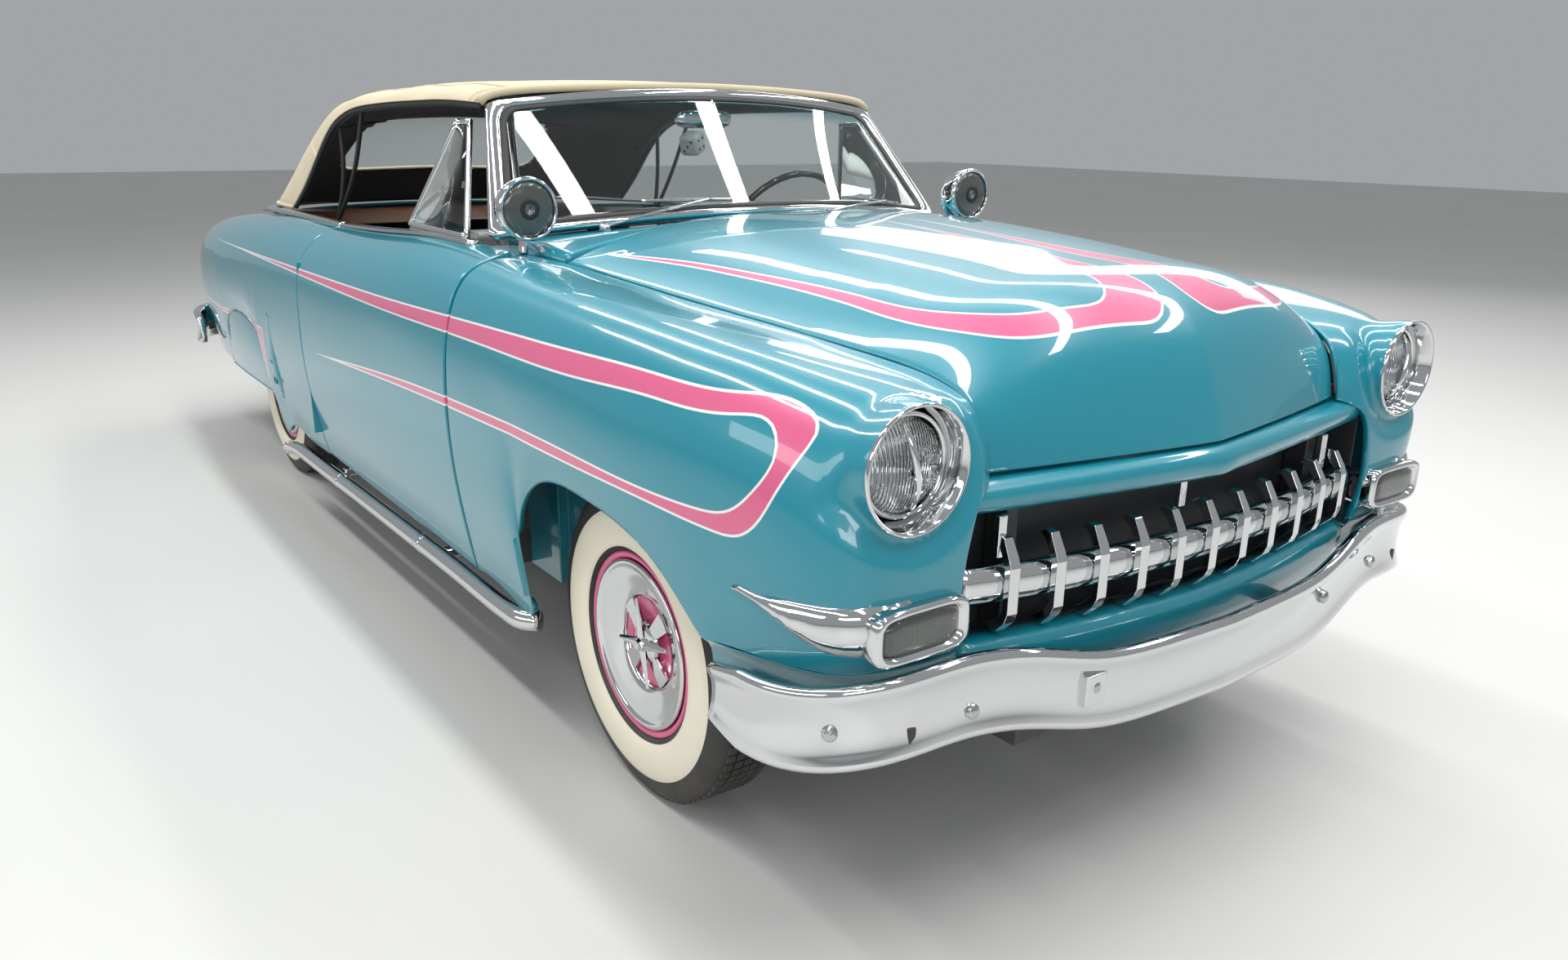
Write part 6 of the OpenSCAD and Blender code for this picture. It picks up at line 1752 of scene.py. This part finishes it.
bars = [vent_bar((-.008, .004), (-.205, .300), .0085), vent_bar((-.200, .300), (-.283, .300), .008),
        vent_bar((-.283, .303), (-.415, .004), .0095), vent_bar((-.415, .006), (-.008, .006), .008)]
bars.append(bar("foot", (front_x - .905 - .416, .760, 1.062), (front_x - .911, .767, 1.100), .001))
corner = [vent_at(*p) for p in ((-.022, .012), (-.205, .292), (-.277, .292), (-.402, .012))]
vent_glass = outwards(loft("vent_glass", [[tuple(np.array(p) + [0, d, 0]) for p in corner] for d in (-.002,
        .002)]))
vent_glass.data.attributes.new("shade_band", "FLOAT", "POINT")
both_sides(dressed(joined("vent", bars), chrome), "vent_frame", "door_*", "chrome", "vent_window_*")
both_sides(dressed(vent_glass, window_glass), "vent_glass", "door_*", "glass")

# %% [markdown]
# A chrome spotlight stands on each windshield pillar: a turned shell with a ribbed lens on a stalk.

# %% Spotlights
lamp_at = (front_x - .650, .716, 1.190)
shell = lathe("shell", [(.0005, -.085), (.018, -.083), (.036, -.075), (.052, -.058), (.064, -.036),
                        (.071, -.008),
                        (.0735, .006), (.0740, .014), (.0715, .0195), (.0660, .0200), (.0655, .0155),
                        (.068, .008),
                        (.062, -.030), (.030, -.070), (.0005, -.078)], lamp_at, "x", 64)
face = lathe("face", [(.0005, .024), (.030, .0225), (.050, .0195), (.0655, .0160), (.0655, .0120),
                      (.0005, .0120)],
             lamp_at, "x", 64)
eye = lathe("eye", [(.0005, .022), (.014, .0235), (.022, .0245), (.024, .0235), (.020, .0215),
                    (.0005, .0205)],
            lamp_at, "x", 32)
stalk = tube("stalk", [(lamp_at[0] - .028, .716, 1.0843), (lamp_at[0] - .028, .716, 1.10),
                       (lamp_at[0] - .028, .716, 1.125)],
             [.013, .010, .009], 16, .004)
fork = tube("fork", [(lamp_at[0] - .028, .716, 1.115), (lamp_at[0] - .034, .690, 1.125),
                     (lamp_at[0] - .036, .662, 1.150),
                     (lamp_at[0] - .032, .652, 1.185)], .007, 12, .006)
spot = joined("spot", [dressed(p, chrome) for p in (shell, stalk, fork)] + [dressed(eye, seal_rubber)])
piece(joined("spots", [spot, mirrored(spot)]), "spotlight_pair", "body", "chrome", "spotlights")
piece(dressed(joined("faces", [face, mirrored(face)]), smoked_lens), "spotlight_lenses", "body", "glass")

# %% [markdown]
# ## Cabin
# The dashboard is one lofted shell with a hooded instrument panel. The steering wheel has a thin
# black rim, two spokes and a chrome horn ring.

# %% Dashboard
rings = []
for y in np.linspace(-.625, .625, 51):
    x = firewall_x - .150 - .040 * abs(y) / .625
    hood_up = .016 * math.exp(-((y - .38) / .17) ** 4)
    rings.append([(firewall_x - .001, y, 1.032), (x + .030, y, 1.036 + hood_up),
                  (x - .010, y, 1.036 + hood_up),
                  (x - .040, y, 1.030 + hood_up), (x - .058, y, 1.012 + hood_up * .5), (x - .060, y, .992),
                  (x - .050, y, .965), (x - .050, y, .930), (x - .042, y, .905), (x - .010, y, .880),
                  (firewall_x - .001, y, .900)])
dash = outwards(loft("dash", rings))
hub = np.array([front_x - 1.130, .380, 1.060])
tilt = math.radians(60)
axis = np.array([-math.sin(tilt), 0, math.cos(tilt)])
column = tube("column", [hub - axis * d for d in (.735, .40, .02)], [.022, .022, .024], 24, .03)
piece(joined("dash_parts", [dressed(dash, dark_trim), dressed(column, black_enamel)]), "dashboard_shell",
      "body",
      "dark_trim", "dashboard")
dials = []
for y, r in ((.38, .060), (.27, .030), (.49, .030), (-.02, .020), (.06, .014), (-.10, .014)):
    x = firewall_x - .150 - .040 * abs(y) / .625 - .052
    dials.append(lathe("dial", [(.0005, 0), (r * .8, 0), (r * .86, .005), (r, .006), (r * 1.05, -.002),
                                (r * .9, -.008),
                                (.0005, -.008)], (x, y, .950), "x", 40, -1))
piece(dressed(joined("dials", dials), chrome), "instrument_bezels", "body", "chrome")

# %% Steering wheel
side_y = np.array([0.0, 1, 0])
side_x = np.cross(side_y, axis)


def on_wheel(turn, r, up=0.0):
    return hub + side_x * r * math.cos(turn) + side_y * r * math.sin(turn) + axis * up


rings = []
for n in range(120):
    a = 2 * math.pi * n / 120
    grip = .0102 - .0006 * (n % 4 == 0)
    rings.append([on_wheel(a, .204 + grip * math.cos(b), grip * math.sin(b))
                  for b in np.linspace(0, 2 * math.pi, 12, endpoint=False)])
rim = outwards(loft("rim", rings, wrap=True))
spokes = [tube("spoke", [on_wheel(a, .03, -.006), on_wheel(a, .12, -.012), on_wheel(a, .196, -.003)],
               [.012, .009, .008], 12, .01) for a in (math.radians(80), math.radians(280))]
core = [(.0005, -.019), (.036, -.019), (.038, -.010), (.034, .004), (.024, .010), (.0005, .0125)]
boss = outwards(loft("boss", [[on_wheel(2 * math.pi * n / 40, r, d) for n in range(40)] for r, d in core]))
horn_ring = tube("horn_ring", [on_wheel(a, .105, .002) for a in np.linspace(.9, 5.4, 30)], .0035, 8, .008)
wheel_rim = joined("steering", [dressed(p, black_enamel) for p in [rim,
                                                                   boss] + spokes] + [dressed(horn_ring,
                                                                           chrome)])
piece(wheel_rim, "steering_wheel_rim", "steering_wheel", "dark_trim", "steering_wheel")

# %% [markdown]
# Seats are stuffed: a slightly small block is remeshed, blown up as cloth with its movement capped,
# and then channels are pressed in.

# %% Padded seats
def pad(name, outline, width, coat, channels=(), cap=0.024, shrink=0.014):
    outline = np.array(outline, float) / 1000
    outline = np.concatenate([outline, outline[:1]])
    far = np.concatenate([[0], np.cumsum(np.linalg.norm(np.diff(outline, axis=0), axis=1))])
    at = np.linspace(0, far[-1], 72, endpoint=False)
    ring = np.stack([np.interp(at, far, outline[:, k]) for k in (0, 1)], -1)
    for _ in range(3):
        ring = (np.roll(ring, 1, 0) + ring * 2 + np.roll(ring, -1, 0)) / 4
    middle = ring.mean(0)
    rows = []
    for t in np.linspace(-1, 1, 61):
        edge = 1 - .10 * max(0, (abs(t) - .93) / .07) ** 2
        pull = ring - middle
        size = np.linalg.norm(pull, axis=1, keepdims=True)
        flat = middle + pull * edge * (1 - shrink / size)
        rows.append([(front_x + x, t * (width / 2 - shrink), z) for x, z in flat])
    item = outwards(loft(name, rows))
    remesh = item.modifiers.new("even", "REMESH")
    remesh.mode, remesh.voxel_size = "VOXEL", 0.016
    baked(item)
    start = np.array([v.co for v in item.data.vertices])
    cloth = item.modifiers.new("stuffing", "CLOTH")
    cloth.settings.use_pressure = True
    cloth.settings.uniform_pressure_force = 4
    cloth.settings.effector_weights.gravity = 0
    for frame_at in range(1, 21):
        bpy.context.scene.frame_set(frame_at)
    baked(item)
    bpy.context.scene.frame_set(1)
    now = np.array([v.co for v in item.data.vertices])
    move = now - start
    size = np.linalg.norm(move, axis=1, keepdims=True)
    now = start + move * np.minimum(1, cap / np.maximum(size, 1e-9))
    item.data.vertices.foreach_set("co", now.astype(np.float32).reshape(-1))
    smooth = item.modifiers.new("smooth", "SUBSURF")
    smooth.levels = smooth.render_levels = 1
    baked(item)
    if channels:
        at = np.array([v.co for v in item.data.vertices])
        normal = np.array([v.normal for v in item.data.vertices])
        gap = np.abs((at[:, 1] / channels[0] + .5) % 1 - .5) * channels[0]
        inside = (np.abs(at[:, 1]) < channels[1]) & ((normal[:, 0] > .5) | (normal[:, 2] > .5))
        at -= normal * (inside * .006 * np.exp(-(gap / .007) ** 2))[:, None]
        item.data.vertices.foreach_set("co", at.astype(np.float32).reshape(-1))
    return dressed(item, coat)


front_low = [(-1360, 470), (-1350, 610), (-1400, 650), (-1850, 600), (-1850, 420)]
front_back = [(-1840, 602), (-1755, 640), (-1840, 1040), (-1930, 1040), (-1990, 520), (-1850, 420)]
rear_low = [(-2215, 495), (-2205, 600), (-2255, 640), (-2740, 600), (-2740, 495)]
rear_back = [(-2730, 600), (-2650, 640), (-2760, 960), (-2840, 990), (-2900, 960), (-2860, 495),
             (-2730, 495)]
seats = [("front_seat_cushion", front_low, 1.300, grey_hide, (.093, .50), ("front_seat",)),
         ("front_seat_back", front_back, 1.300, grey_hide, (.093, .50), ()),
         ("rear_seat_cushion", rear_low, 1.120, grey_hide, (.093, .42), ("rear_seat",)),
         ("rear_seat_back", rear_back, 1.120, grey_hide, (.093, .42), ())]
for name, outline, width, coat, channels, stands_for in seats:
    cushion = pad(name, outline, width, coat, channels)
    piece(cushion, name, "body", "seat_cover", *stands_for)
risers = [bar("riser", (front_x - 1.800, s * .405 - .020, .362), (front_x - 1.450, s * .405 + .020, .470),
              .004) for s in (-1, 1)]
piece(dressed(joined("risers", risers), black_steel), "front_seat_risers", "body", "chassis_black")
shelf = sheet("shelf", skin(np.array([[(front_x - x, y, z) for y in (-.67, -.3, .3, .67)] for x, z in
                                      ((3.44, 1.010), (3.30, 1.012), (2.94, 1.000), (2.86, .985))]), .04),
                                      .004)
piece(dressed(shelf, brown_hide), "rear_shelf", "body", "seat_cover")
carpets = [bar("mat", (step_at, -.60, .3623), (firewall_x - .01, .60, .368),
               .002) for step_at in (rear_x + .655,)]
piece(dressed(joined("carpets", carpets), dark_carpet), "floor_carpet", "body", "floor_paint")

# %% [markdown]
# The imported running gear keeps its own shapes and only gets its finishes.

# %% Carried parts
for node, coat in {"chassis_frame": black_steel, "front_suspension": black_steel,
                   "knuckle_left": black_steel,
                   "knuckle_right": black_steel, "rear_axle": black_steel,
                   "engine_and_radiator": engine_paint,
                   "floor_and_walls": floor_paint}.items():
    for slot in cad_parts[node].material_slots:
        slot.material = coat
print("pieces:", len(made), "triangles:", sum(len(i.data.loop_triangles) for i in made))
